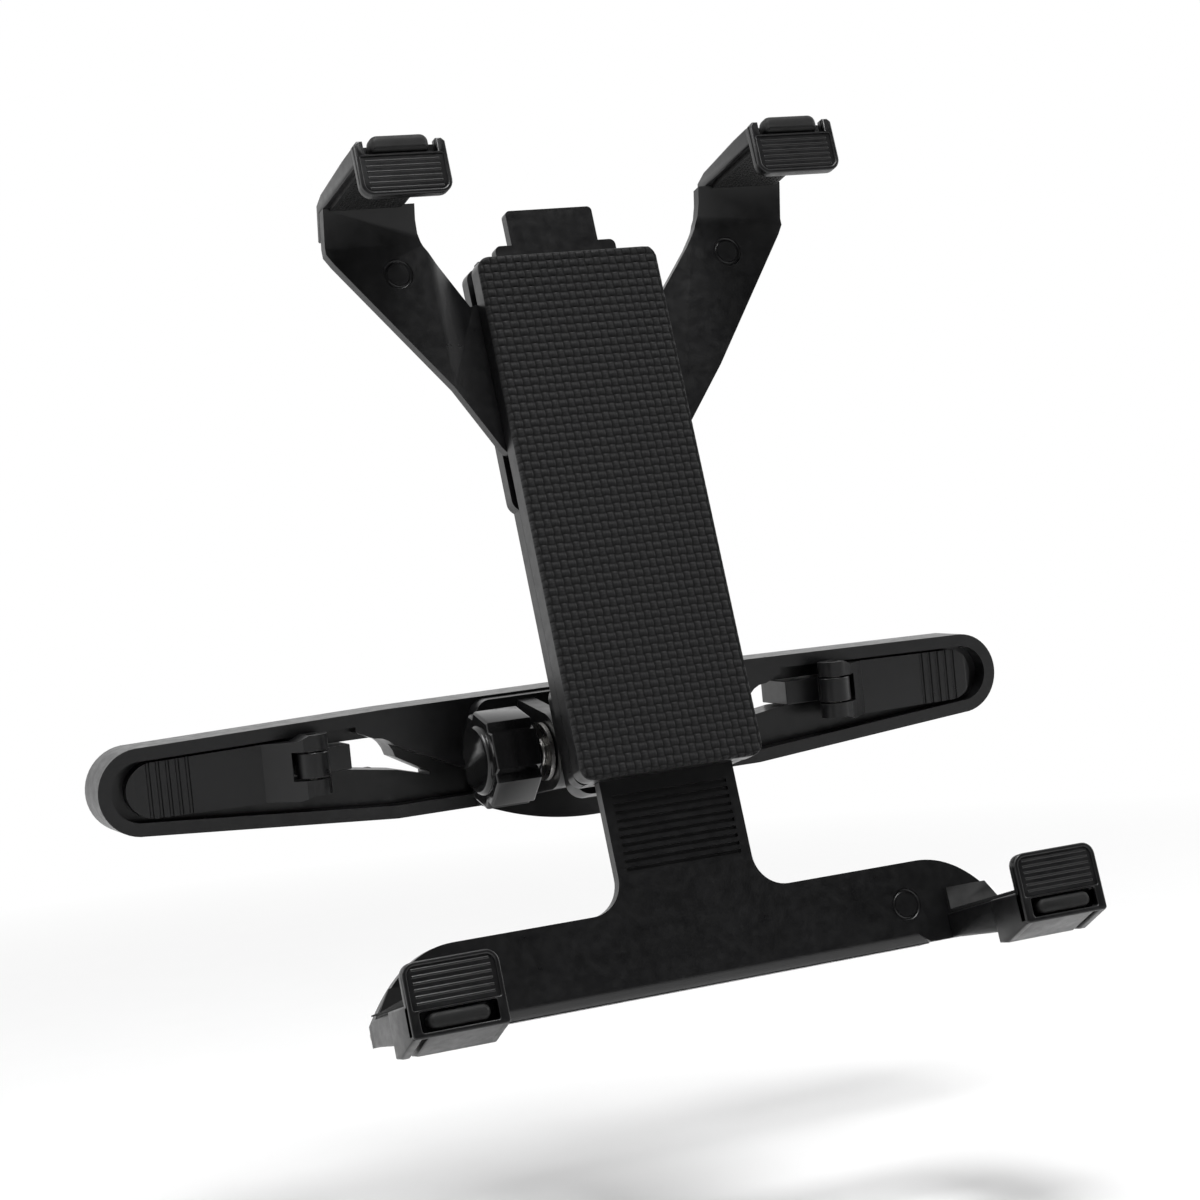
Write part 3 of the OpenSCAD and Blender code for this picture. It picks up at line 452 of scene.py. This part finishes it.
# Repeats: a small piece is set on every point of a mesh
def makeRepeatTree():
    tree = bpy.data.node_groups.new("repeatPiece", "GeometryNodeTree")
    face = tree.interface
    face.new_socket("Points", in_out="INPUT", socket_type="NodeSocketGeometry")
    face.new_socket("Piece", in_out="INPUT", socket_type="NodeSocketObject")
    face.new_socket("Size", in_out="INPUT", socket_type="NodeSocketFloat")
    face.new_socket("Finish", in_out="INPUT", socket_type="NodeSocketMaterial")
    face.new_socket("Geometry", in_out="OUTPUT", socket_type="NodeSocketGeometry")
    add = tree.nodes.new
    start, end = add("NodeGroupInput"), add("NodeGroupOutput")
    info, onPoints = add("GeometryNodeObjectInfo"), add("GeometryNodeInstanceOnPoints")
    real, finish = add("GeometryNodeRealizeInstances"), add("GeometryNodeSetMaterial")
    link = tree.links.new
    link(start.outputs["Points"], onPoints.inputs["Points"])
    link(start.outputs["Piece"], info.inputs["Object"])
    link(info.outputs["Geometry"], onPoints.inputs["Instance"])
    link(start.outputs["Size"], onPoints.inputs["Scale"])
    link(onPoints.outputs[0], real.inputs[0])
    link(real.outputs[0], finish.inputs["Geometry"])
    link(start.outputs["Finish"], finish.inputs["Material"])
    link(finish.outputs[0], end.inputs["Geometry"])
    return tree


repeatTree = makeRepeatTree()


def repeated(piece, points, mat, size=1.0):
    source = bpy.data.objects.new("source", piece)
    bpy.context.scene.collection.objects.link(source)
    cloud = bpy.data.meshes.new("points")
    cloud.from_pydata(points, [], [])
    obj = bpy.data.objects.new("repeat", cloud)
    bpy.context.scene.collection.objects.link(obj)
    mod = obj.modifiers.new("repeat", "NODES")
    mod.node_group = repeatTree
    ids = {s.name: s.identifier for s in repeatTree.interface.items_tree if s.in_out == "INPUT"}
    mod[ids["Piece"]] = source
    mod[ids["Size"]] = size
    mod[ids["Finish"]] = mats[mat]
    mesh = bpy.data.meshes.new_from_object(obj.evaluated_get(bpy.context.evaluated_depsgraph_get()))
    bpy.data.objects.remove(obj)
    bpy.data.objects.remove(source)
    return mesh


# Foam face: a woven relief of bundles that run across and down in turn
def wovenHeight(x, z):
    i, j = math.floor(x / weave["pitch"]), math.floor(z / weave["pitch"])
    u, v = x / weave["pitch"] - i, z / weave["pitch"] - j
    along, over = (u, v) if (i + j) % 2 else (v, u)
    bow = math.sin(math.pi * along) ** weave["bow"]
    side = 1 - abs(2 * over - 1) ** weave["flat"]
    return bow * side * weave["relief"]


def makeFoam():
    w, l, r = holder["padWidth"] / 2, holder["padLength"], holder["cornerR"]
    thick, lip = weave["thick"], weave["edge"]
    nx = int(2 * w / weave["pitch"] * weave["samples"])
    nz = int(l / weave["pitch"] * weave["samples"])
    bm = bmesh.new()
    grid = []
    for j in range(nz + 1):
        z = -l * j / nz
        into = max(0, r + z, r - (z + l))
        half = w - r + math.sqrt(max(0, r * r - into * into))
        row = []
        for i in range(nx + 1):
            x = half * (2 * i / nx - 1)
            edge = min(half - abs(x), -z, z + l)
            fall = max(0, 1 - edge / lip) ** 2 * lip
            y = weave["relief"] - wovenHeight(x, z) * min(1, edge / lip) + fall
            row.append(bm.verts.new((x, y, z)))
        grid.append(row)
    for j in range(nz):
        for i in range(nx):
            bm.faces.new((grid[j][i], grid[j + 1][i], grid[j + 1][i + 1], grid[j][i + 1]))
    rim = grid[0] + [row[-1] for row in grid[1:]] + grid[-1][-2::-1] + [row[0] for row in grid[-2:0:-1]]
    back = [bm.verts.new((v.co.x, thick, v.co.z)) for v in rim]
    for k in range(len(rim)):
        n = (k + 1) % len(rim)
        bm.faces.new((rim[k], rim[n], back[n], back[k]))
    bm.faces.new(back)
    bmesh.ops.recalc_face_normals(bm, faces=bm.faces)
    mesh = bpy.data.meshes.new("foam")
    bm.to_mesh(mesh)
    bm.free()
    smooth(mesh, 60)
    mesh.transform(padMatrix @ toMetres)
    place("foamFace", mesh, "foam_pad")


makeFoam()
print("foam made")


# Claws. Side profiles are in forward distance n and distance s outwards from the lip's free edge.
claw = dict(width=21.9, upperX=39, lowerX=64.1, upperEdge=4.9, lowerEdge=35.9, reach=31.3, lowerHeight=16.1,
            upperHeight=13, lipT=2.9, restS=8.6, blockN=17, cornerR=2.9, upperInset=0.6,
            lowerInset=(1.4, 3.4), rimT=0.7, rimW=1.0)
ribs = dict(count=6, first=1.75, upperPitch=1.3, lowerPitch=1.42, radius=0.42, margin=1.9)
window = dict(lowerLow=10.6, upperLow=9.9, high=14.9, depth=4, margin=2.2)
pill = dict(margin=3.9, gap=0.35, stand=1.3, edge=1.2)
seat = dict(near=(-1.75, 0.2), far=(2, 8.6), lugT=2.2, lugS=3, lugLean=24.06, screwS=5.6)


# Takes a claw drawn in forward distance n, outward distance s and width x to its place
def clawMatrix(side, upper):
    x0 = claw["upperX"] if upper else claw["lowerX"]
    z0 = claw["upperEdge"] if upper else -(holder["padLength"] + claw["lowerEdge"])
    out = 1 if upper else -1
    turn = Matrix(((0, 0, side, side * x0), (-1, 0, 0, 0), (0, out, 0, z0), (0, 0, 0, 1)))
    return padMatrix @ toMetres @ turn


def finishClaw(mesh, side, upper):
    mesh.transform(clawMatrix(side, upper))
    bm = bmesh.new()
    bm.from_mesh(mesh)
    bmesh.ops.recalc_face_normals(bm, faces=bm.faces)
    bm.to_mesh(mesh)
    bm.free()
    smooth(mesh)
    return mesh


# Forward distance of an upper claw's leaning seat at outward distance s
def seatAt(s):
    (n0, s0), (n1, s1) = seat["near"], seat["far"]
    return n0 + (n1 - n0) * (s - s0) / (s1 - s0)


def heightOf(upper):
    return claw["upperHeight"] if upper else claw["lowerHeight"]


def windowLow(upper):
    return window["upperLow"] if upper else window["lowerLow"]


# Highest corners of a lower claw's block, behind its window
def crest():
    n, top = claw["blockN"], claw["lowerHeight"]
    return [(n + 3.5, top + 3), (n, top + 2.6)]


def sideProfile(upper):
    tip, back, top = claw["reach"] - 0.5, claw["reach"] - window["depth"], heightOf(upper)
    rest, low, block = claw["restS"], windowLow(upper), claw["blockN"]
    if upper:
        lean = math.atan2(seat["far"][0] - seat["near"][0], seat["far"][1] - seat["near"][1])
        arm = holder["slideT"] / math.cos(lean)
        lug, lugS = arm + seat["lugT"] / math.cos(lean), seat["lugS"]
        return [(tip, rest), (tip, low), (back, low), (back, top), (block + 3, top), (2, top - 0.8),
                (seatAt(11) - lug, 11), (seatAt(lugS) - lug, lugS), (seatAt(lugS) - arm, lugS),
                (seatAt(rest) - arm, rest), (seat["far"][0], rest)]
    return [(tip, rest), (tip, low), (back, low), (back, window["high"]), (tip, window["high"]), (tip, top),
            *crest(), (block - 2.5, top), (-holder["layerSlide"], top - 1.6), (-holder["layerSlide"], rest)]


# Front frame of a lip, drawn in x and s: a rim round a ribbed panel, and posts beside the window
def frontLoops(upper, inset):
    w, h, r = claw["width"], heightOf(upper), claw["cornerR"]
    m, low = window["margin"], windowLow(upper)
    if upper:
        post = [(w, h - 0.8), (w - 0.8, h), (w - m, h), (w - m, low),
                (m, low), (m, h), (0.8, h), (0, h - 0.8)]
        loops = [arc(r, r, r, 180, 270) + arc(w - r, r, r, 270, 360) + post]
    else:
        loops = [roundRect(0, 0, w, h, (r, r, 0.8, 0.8)),
                 roundRect(m, low, w - m, window["high"], (0.5, 0.5, 0.5, 0.5))[::-1]]
    if inset:
        panelR = r - inset
        loops.append(roundRect(inset, inset, w - inset, low - 0.5, (panelR, panelR, 0.4, 0.4))[::-1])
    return loops


# Stands a piece that is drawn in x and s up at forward distance n
def upright(mesh, n):
    mesh.transform(Matrix(((0, 0, 1, n), (0, 1, 0, 0), (1, 0, 0, 0), (0, 0, 0, 1))))
    return mesh


def makeClaw(node, side, upper):
    w, rimT = claw["width"], claw["rimT"]
    inner, outer = (claw["upperInset"],) * 2 if upper else claw["lowerInset"]
    body = flatPiece([sideProfile(upper)], w - inner - outer, 0.5)
    body.transform(Matrix.Translation((0, 0, (w + inner - outer) / 2)))
    slabT = claw["lipT"] - rimT + 0.3
    slab = upright(flatPiece(frontLoops(upper, 0), slabT, 0.4), claw["reach"] - claw["lipT"] + slabT / 2)
    rim = upright(flatPiece(frontLoops(upper, claw["rimW"]), 1.6, 0.35), claw["reach"] - 0.8)
    reach = w / 2 - ribs["margin"]
    rib = flatPiece([roundRect(-ribs["radius"], -reach, ribs["radius"], reach, [0.3] * 4)], 1.2, 0.38)
    rib.transform(Matrix(((0, 0, 1, 0), (1, 0, 0, 0), (0, 1, 0, 0), (0, 0, 0, 1))))
    pitch = ribs["upperPitch"] if upper else ribs["lowerPitch"]
    rows = [(claw["reach"] - rimT - 0.15, ribs["first"] + pitch * i, w / 2) for i in range(ribs["count"])]
    ribbed = repeated(rib, rows, "plastic")
    parts = [body, slab, rim, ribbed]
    if not upper:
        # Full-width block behind the lip, with walls beside the window
        tip, back = claw["reach"] - 0.6, claw["reach"] - window["depth"]
        cheek = [(tip, windowLow(upper) - 2), (tip, heightOf(upper)), *crest(),
                 (claw["blockN"], claw["restS"]), (back, claw["restS"])]
        for x in (window["margin"] / 2, w - window["margin"] / 2):
            part = flatPiece([cheek], window["margin"], 0.5)
            part.transform(Matrix.Translation((0, 0, x)))
            parts.append(part)
    place(plainName(node), finishClaw(joined(parts), side, upper), node)


def makePill(node, side, upper):
    low = windowLow(upper) + pill["gap"]
    high = heightOf(upper) + pill["stand"] if upper else window["high"] - pill["gap"]
    r = 1.9 if upper else (high - low) / 2 - 0.05
    foot = 0.9 if upper else r
    shape = roundRect(pill["margin"], low, claw["width"] - pill["margin"], high, (foot, foot, r, r))
    mesh = upright(flatPiece([shape], window["depth"], pill["edge"]), claw["reach"] - 1.8)
    place(plainName(node), finishClaw(mesh, side, upper), node)


# Rubber lining with rows of small studs on the faces that touch the tablet
slope = dict(start=(12.3, 1.2), end=(17.9, 9.7))
studs = dict(pitch=1.15, size=0.36, height=0.34)


def stud():
    bm = bmesh.new()
    bmesh.ops.create_cone(bm, cap_ends=True, segments=8, radius1=studs["size"], radius2=studs["size"] * 0.55,
                          depth=studs["height"])
    mesh = bpy.data.meshes.new("stud")
    bm.to_mesh(mesh)
    bm.free()
    return mesh


# Cuts the lining to the sloping end of the T
def cutToSlope(mesh):
    (x0, s0), (x1, s1) = slope["start"], slope["end"]
    bm = bmesh.new()
    bm.from_mesh(mesh)
    bmesh.ops.remove_doubles(bm, verts=bm.verts, dist=1e-4)
    cut = bmesh.ops.bisect_plane(bm, geom=bm.verts[:] + bm.edges[:] + bm.faces[:], plane_co=(0, s0, x0),
                                 plane_no=(0, x0 - x1, s1 - s0), clear_outer=True)["geom_cut"]
    bmesh.ops.holes_fill(bm, edges=[e for e in cut if isinstance(e, bmesh.types.BMEdge)])
    out = bpy.data.meshes.new("lining")
    bm.to_mesh(out)
    bm.free()
    return out


def makeGrip(node, side, upper):
    points = []
    start = seat["far"][0] + 0.9 if upper else -holder["layerSlide"] + 1.6
    end = claw["reach"] - claw["lipT"] - 2.4
    pitch, s = studs["pitch"], claw["restS"] - 0.9
    across = int((claw["width"] - 6) / pitch)
    for i in range(across + 1):
        x = claw["width"] / 2 + (i - across / 2) * pitch
        for j in range(int((end - start) / pitch) + 1):
            points.append((start + j * pitch + 0.5 * pitch * (i % 2), s, x))
    piece = stud()
    piece.transform(Matrix.Rotation(math.radians(90), 4, "X"))
    lining = nodes[node].data.copy()
    lining.transform(clawMatrix(side, upper).inverted())
    if not upper:
        lining = cutToSlope(lining)
    mesh = joined([lining, repeated(piece, points, "rubber")])
    place(plainName(node), finishClaw(mesh, side, upper), node)


for upper in (True, False):
    for side, word in ((-1, "left"), (1, "right")):
        level = "upper" if upper else "lower"
        makeClaw(f"claw_{level}_{word}", side, upper)
        makePill(f"bumper_{level}_{word}", side, upper)
        makeGrip(f"grip_{level}_{word}", side, upper)
print("claws made")


# Clamp screw with its thread, along X on the tilt axis
clampScrew = dict(radius=3.5, pitch=1.25, depth=0.62, start=-29.4, end=19.0, steps=20)


def makeClampScrew():
    v = clampScrew
    turns = int((v["end"] - v["start"]) / v["pitch"])
    bm = bmesh.new()
    # Points of one turn: how far along it they lie, and how deep below the crest
    levels = [(0, v["depth"]), (0.35, v["depth"] * 0.15), (0.5, 0), (0.65, 0), (0.8, v["depth"] * 0.5)]
    rings = []
    for t in range(turns):
        for along, cut in levels:
            ring = []
            for k in range(v["steps"]):
                phase = k / v["steps"]
                x = v["start"] + (t + along + phase) * v["pitch"]
                x = min(max(x, v["start"]), v["end"])
                a = 2 * math.pi * phase
                r = v["radius"] - cut
                ring.append((x, r * math.cos(a), r * math.sin(a)))
            rings.append(ring)
    verts = [[bm.verts.new(p) for p in ring] for ring in rings]
    per, n = len(levels), v["steps"]
    for q in range(len(verts) - per - 1):
        for k in range(n):
            if k < n - 1:
                quad = (verts[q][k], verts[q + 1][k], verts[q + 1][k + 1], verts[q][k + 1])
            else:
                quad = (verts[q][k], verts[q + 1][k], verts[q + 1 + per][0], verts[q + per][0])
            bm.faces.new(quad)
    for end in (v["start"] + 0.2, v["end"] - 0.1):
        disc = bmesh.ops.create_circle(bm, cap_ends=True, segments=n, radius=v["radius"] - 0.1)
        for vert in disc["verts"]:
            vert.co = Vector((end, vert.co.x, vert.co.y))
    bmesh.ops.recalc_face_normals(bm, faces=bm.faces)
    mesh = bpy.data.meshes.new("thread")
    bm.to_mesh(mesh)
    bm.free()
    smooth(mesh, 30)
    mesh.transform(Matrix.Translation((0, holder["tiltY"] * mm, 0)) @ toMetres)
    place("clampScrew", mesh, "clamp_screw")


makeClampScrew()


# Knob: six flats with narrow hollows between them, a domed outer end and a collar towards the ear
knob = dict(radius=11.8, length=14.5, inner=-21.4, flats=6, turn=15, hollow=1.5, cap=0.72, collar=0.66)


def knobOutline():
    points = []
    half = 180 / knob["flats"]
    r = knob["radius"]
    for i in range(knob["flats"]):
        mid = knob["turn"] + i * 2 * half
        for share in (-0.72, -0.66, 0.66, 0.72):
            a = math.radians(mid + half * share)
            reach = r * math.cos(math.radians(half * 0.66)) / math.cos(math.radians(half * share))
            ease = 0.15 if abs(share) > 0.7 else 0
            points.append(((reach - ease) * math.cos(a), reach * math.sin(a)))
        a = math.radians(mid + half)
        points.append(((r - knob["hollow"]) * math.cos(a), (r - knob["hollow"]) * math.sin(a)))
    return points


def makeKnob():
    main = flatPiece([knobOutline()], knob["length"] - 3, 0.7)
    main.transform(Matrix.Translation((0, 0, knob["length"] / 2 - 0.4)))
    cap = flatPiece([arc(0, 0, knob["radius"] * knob["cap"], 0, 354, 47)], 4, 1.2)
    cap.transform(Matrix.Translation((0, 0, 2.1)))
    collar = flatPiece([arc(0, 0, knob["radius"] * knob["collar"], 0, 354, 47)], 4, 0.6)
    collar.transform(Matrix.Translation((0, 0, knob["length"] - 2)))
    mesh = joined([main, cap, collar])
    start = knob["inner"] - knob["length"]
    along = Matrix(((0, 0, 1, start), (0, 1, 0, holder["tiltY"]), (-1, 0, 0, 0), (0, 0, 0, 1)))
    mesh.transform(toMetres @ along)
    smooth(mesh)
    place("tiltKnob", mesh, "tilt_knob")


makeKnob()
print("knob and clamp screw made")


# Two screws in each claw, 5 mm to either side of its middle
def clawScrews(x0, y, z):
    mid = x0 + claw["width"] / 2
    return [(side * (mid + dx), y, z) for side in (-1, 1) for dx in (-5, 5)]


# Where the upper claws' screws sit on their lugs, as y and z of the pad
def onLug():
    thick, a = holder["slideT"] + seat["lugT"], math.radians(seat["lugLean"])
    z = claw["upperEdge"] + seat["screwS"]
    return -seatAt(seat["screwS"]) + thick * math.cos(a), z + thick * math.sin(a)


# Cross-head screws, seen from behind. Each group has one direction, so one screw is turned and repeated.
screws = dict(
    hinge_base_screws=dict(headR=2.9, headH=1.5, shankR=1.25, shankL=12.5, inPad=False, lean=0,
                           at=[(x, -3, z) for x in (-23, 23) for z in (-7.5, 7.5)]),
    cover_screws=dict(headR=1.75, headH=1.2, shankR=1.0, shankL=8, inPad=True, lean=0,
                      at=[(-20, 11.55, -125), (20, 11.55, -125), (-20, 11.55, -67.5), (20, 11.55, -67.5),
                          (0, 11.55, -6.5)]),
    lower_claw_screws=dict(headR=2.0, headH=1.2, shankR=1.0, shankL=10.8, inPad=True, lean=0,
                           at=clawScrews(claw["lowerX"], 9.05, -175.9)),
    upper_claw_screws=dict(headR=2.0, headH=1.2, shankR=1.0, shankL=4.4, inPad=True, lean=seat["lugLean"],
                           at=clawScrews(claw["upperX"], *onLug())),
)


def crossHead(v):
    r, arm, half = v["headR"], v["headR"] * 0.62, v["headR"] * 0.17
    quarter = [(half, arm), (-half, arm), (-half, half)]
    cross = []
    for k in range(4):
        c, s = round(math.cos(k * math.pi / 2)), round(math.sin(k * math.pi / 2))
        cross += [(c * x - s * y, s * x + c * y) for x, y in quarter]
    circle = arc(0, 0, r, 0, 360 - 360 / 28, 27)
    top = flatPiece([circle, cross[::-1]], v["headH"] * 0.6, 0.12)
    top.transform(Matrix.Translation((0, 0, v["headH"] * 0.7)))
    base = flatPiece([circle], v["headH"] * 0.5, 0.1)
    base.transform(Matrix.Translation((0, 0, v["headH"] * 0.25)))
    shank = flatPiece([arc(0, 0, v["shankR"], 0, 337.5, 15)], v["shankL"] + 0.2, 0.15)
    shank.transform(Matrix.Translation((0, 0, 0.1 - v["shankL"] / 2)))
    mesh = joined([top, base, shank])
    mesh.transform(Matrix.Rotation(math.radians(v["lean"] - 90), 4, "X"))
    return mesh


def makeScrews(node, v):
    mesh = repeated(crossHead(v), v["at"], "steel")
    mesh.transform((padMatrix if v["inPad"] else Matrix()) @ toMetres)
    smooth(mesh)
    place(plainName(node), mesh, node)


for node, v in screws.items():
    makeScrews(node, v)
print("screws made")

# Floor, lamps and background
stage = dict(gap=0.064, radius=6, paint=(0.95, 0.95, 0.95), fadeFrom=0.25, fadeTo=0.65, soft=0.3,
             dim=0.06, dimFrom=-0.7, dimTo=0.1)
lamps = dict(
    key=dict(place=(-0.9, 0.15, 0.8), size=0.5, power=5),
    right=dict(place=(0.9, -0.1, 0.35), size=0.5, power=3),
    top=dict(place=(0, -0.4, 1), size=0.4, power=9),
)


def makeFloor():
    bpy.ops.mesh.primitive_circle_add(vertices=96, radius=stage["radius"], fill_type="NGON",
                                      location=(0, 0, cadBox[0].z - stage["gap"]))
    floor = bpy.context.object
    floor.name = "floor"
    s = Shader("floorPaint", stage["paint"], 0.7, 0.2)
    s.feed(s.mixColor(s.noise(40), *shades(stage["paint"], 0.99, 1.02)), "Base Color")
    glow = s.add("ShaderNodeEmission")
    glow.inputs["Color"].default_value = (1, 1, 1, 1)
    length = s.add("ShaderNodeVectorMath", operation="LENGTH")
    s.link(s.coord, length.inputs[0])
    both = s.add("ShaderNodeMixShader")
    # Away from the object the eye and mirrors see pure white, and mirrors only behind the object
    path = s.add("ShaderNodeLightPath").outputs
    axes = s.add("ShaderNodeSeparateXYZ")
    s.link(s.coord, axes.inputs[0])
    behind = s.ramp(axes.outputs[1], stage["dimFrom"], stage["dimTo"], 0.0, 1.0)
    mirrored = s.math("MULTIPLY", path["Is Glossy Ray"], behind)
    seen = s.math("MAXIMUM", s.math("MAXIMUM", path["Is Camera Ray"], path["Is Transmission Ray"]), mirrored)
    far = s.ramp(length.outputs["Value"], stage["fadeFrom"], stage["fadeTo"], 0.0, 1.0)
    s.link(s.math("MULTIPLY", far, seen), both.inputs[0])
    s.link(s.bsdf.outputs[0], both.inputs[1])
    s.link(glow.outputs[0], both.inputs[2])
    s.link(both.outputs[0], s.out.inputs["Surface"])
    floor.data.materials.append(s.mat)


def makeWorld():
    world = bpy.data.worlds.new("studio")
    bpy.context.scene.world = world
    world.use_nodes = True
    tree = world.node_tree
    tree.nodes.clear()
    out, mix = tree.nodes.new("ShaderNodeOutputWorld"), tree.nodes.new("ShaderNodeMixShader")
    path = tree.nodes.new("ShaderNodeLightPath")
    seen = path.outputs["Is Camera Ray"]
    for ray in ("Is Glossy Ray", "Is Transmission Ray"):
        either = tree.nodes.new("ShaderNodeMath")
        either.operation = "MAXIMUM"
        tree.links.new(seen, either.inputs[0])
        tree.links.new(path.outputs[ray], either.inputs[1])
        seen = either.outputs[0]
    tree.links.new(seen, mix.inputs[0])
    skies = []
    for socket, strength in ((1, stage["soft"]), (2, 1.0)):
        sky = tree.nodes.new("ShaderNodeBackground")
        sky.inputs[0].default_value = (1, 1, 1, 1)
        sky.inputs[1].default_value = strength
        tree.links.new(sky.outputs[0], mix.inputs[socket])
        skies.append(sky)
    # The room is dimmer on the side that the front faces mirror
    coord, axes = tree.nodes.new("ShaderNodeTexCoord"), tree.nodes.new("ShaderNodeSeparateXYZ")
    side, eye = tree.nodes.new("ShaderNodeMapRange"), tree.nodes.new("ShaderNodeMath")
    eye.operation = "MAXIMUM"
    for i, value in enumerate((stage["dimFrom"], stage["dimTo"], stage["dim"], 1.0), 1):
        side.inputs[i].default_value = value
    tree.links.new(coord.outputs["Generated"], axes.inputs[0])
    tree.links.new(axes.outputs[1], side.inputs[0])
    tree.links.new(side.outputs[0], eye.inputs[0])
    tree.links.new(path.outputs["Is Camera Ray"], eye.inputs[1])
    tree.links.new(eye.outputs[0], skies[1].inputs[1])
    tree.links.new(mix.outputs[0], out.inputs[0])


def makeLamps():
    target = Vector((0, -0.04, 0.02))
    for name, v in lamps.items():
        data = bpy.data.lights.new(name + "Lamp", "AREA")
        data.size, data.energy = v["size"], v["power"]
        lamp = bpy.data.objects.new(name + "Lamp", data)
        bpy.context.scene.collection.objects.link(lamp)
        lamp.location = v["place"]
        lamp.rotation_mode = "QUATERNION"
        lamp.rotation_quaternion = (target - Vector(v["place"])).to_track_quat("-Z", "Y")


makeFloor()
makeWorld()
makeLamps()
bpy.context.scene.view_settings.view_transform = "Standard"
print("stage and lamps set")
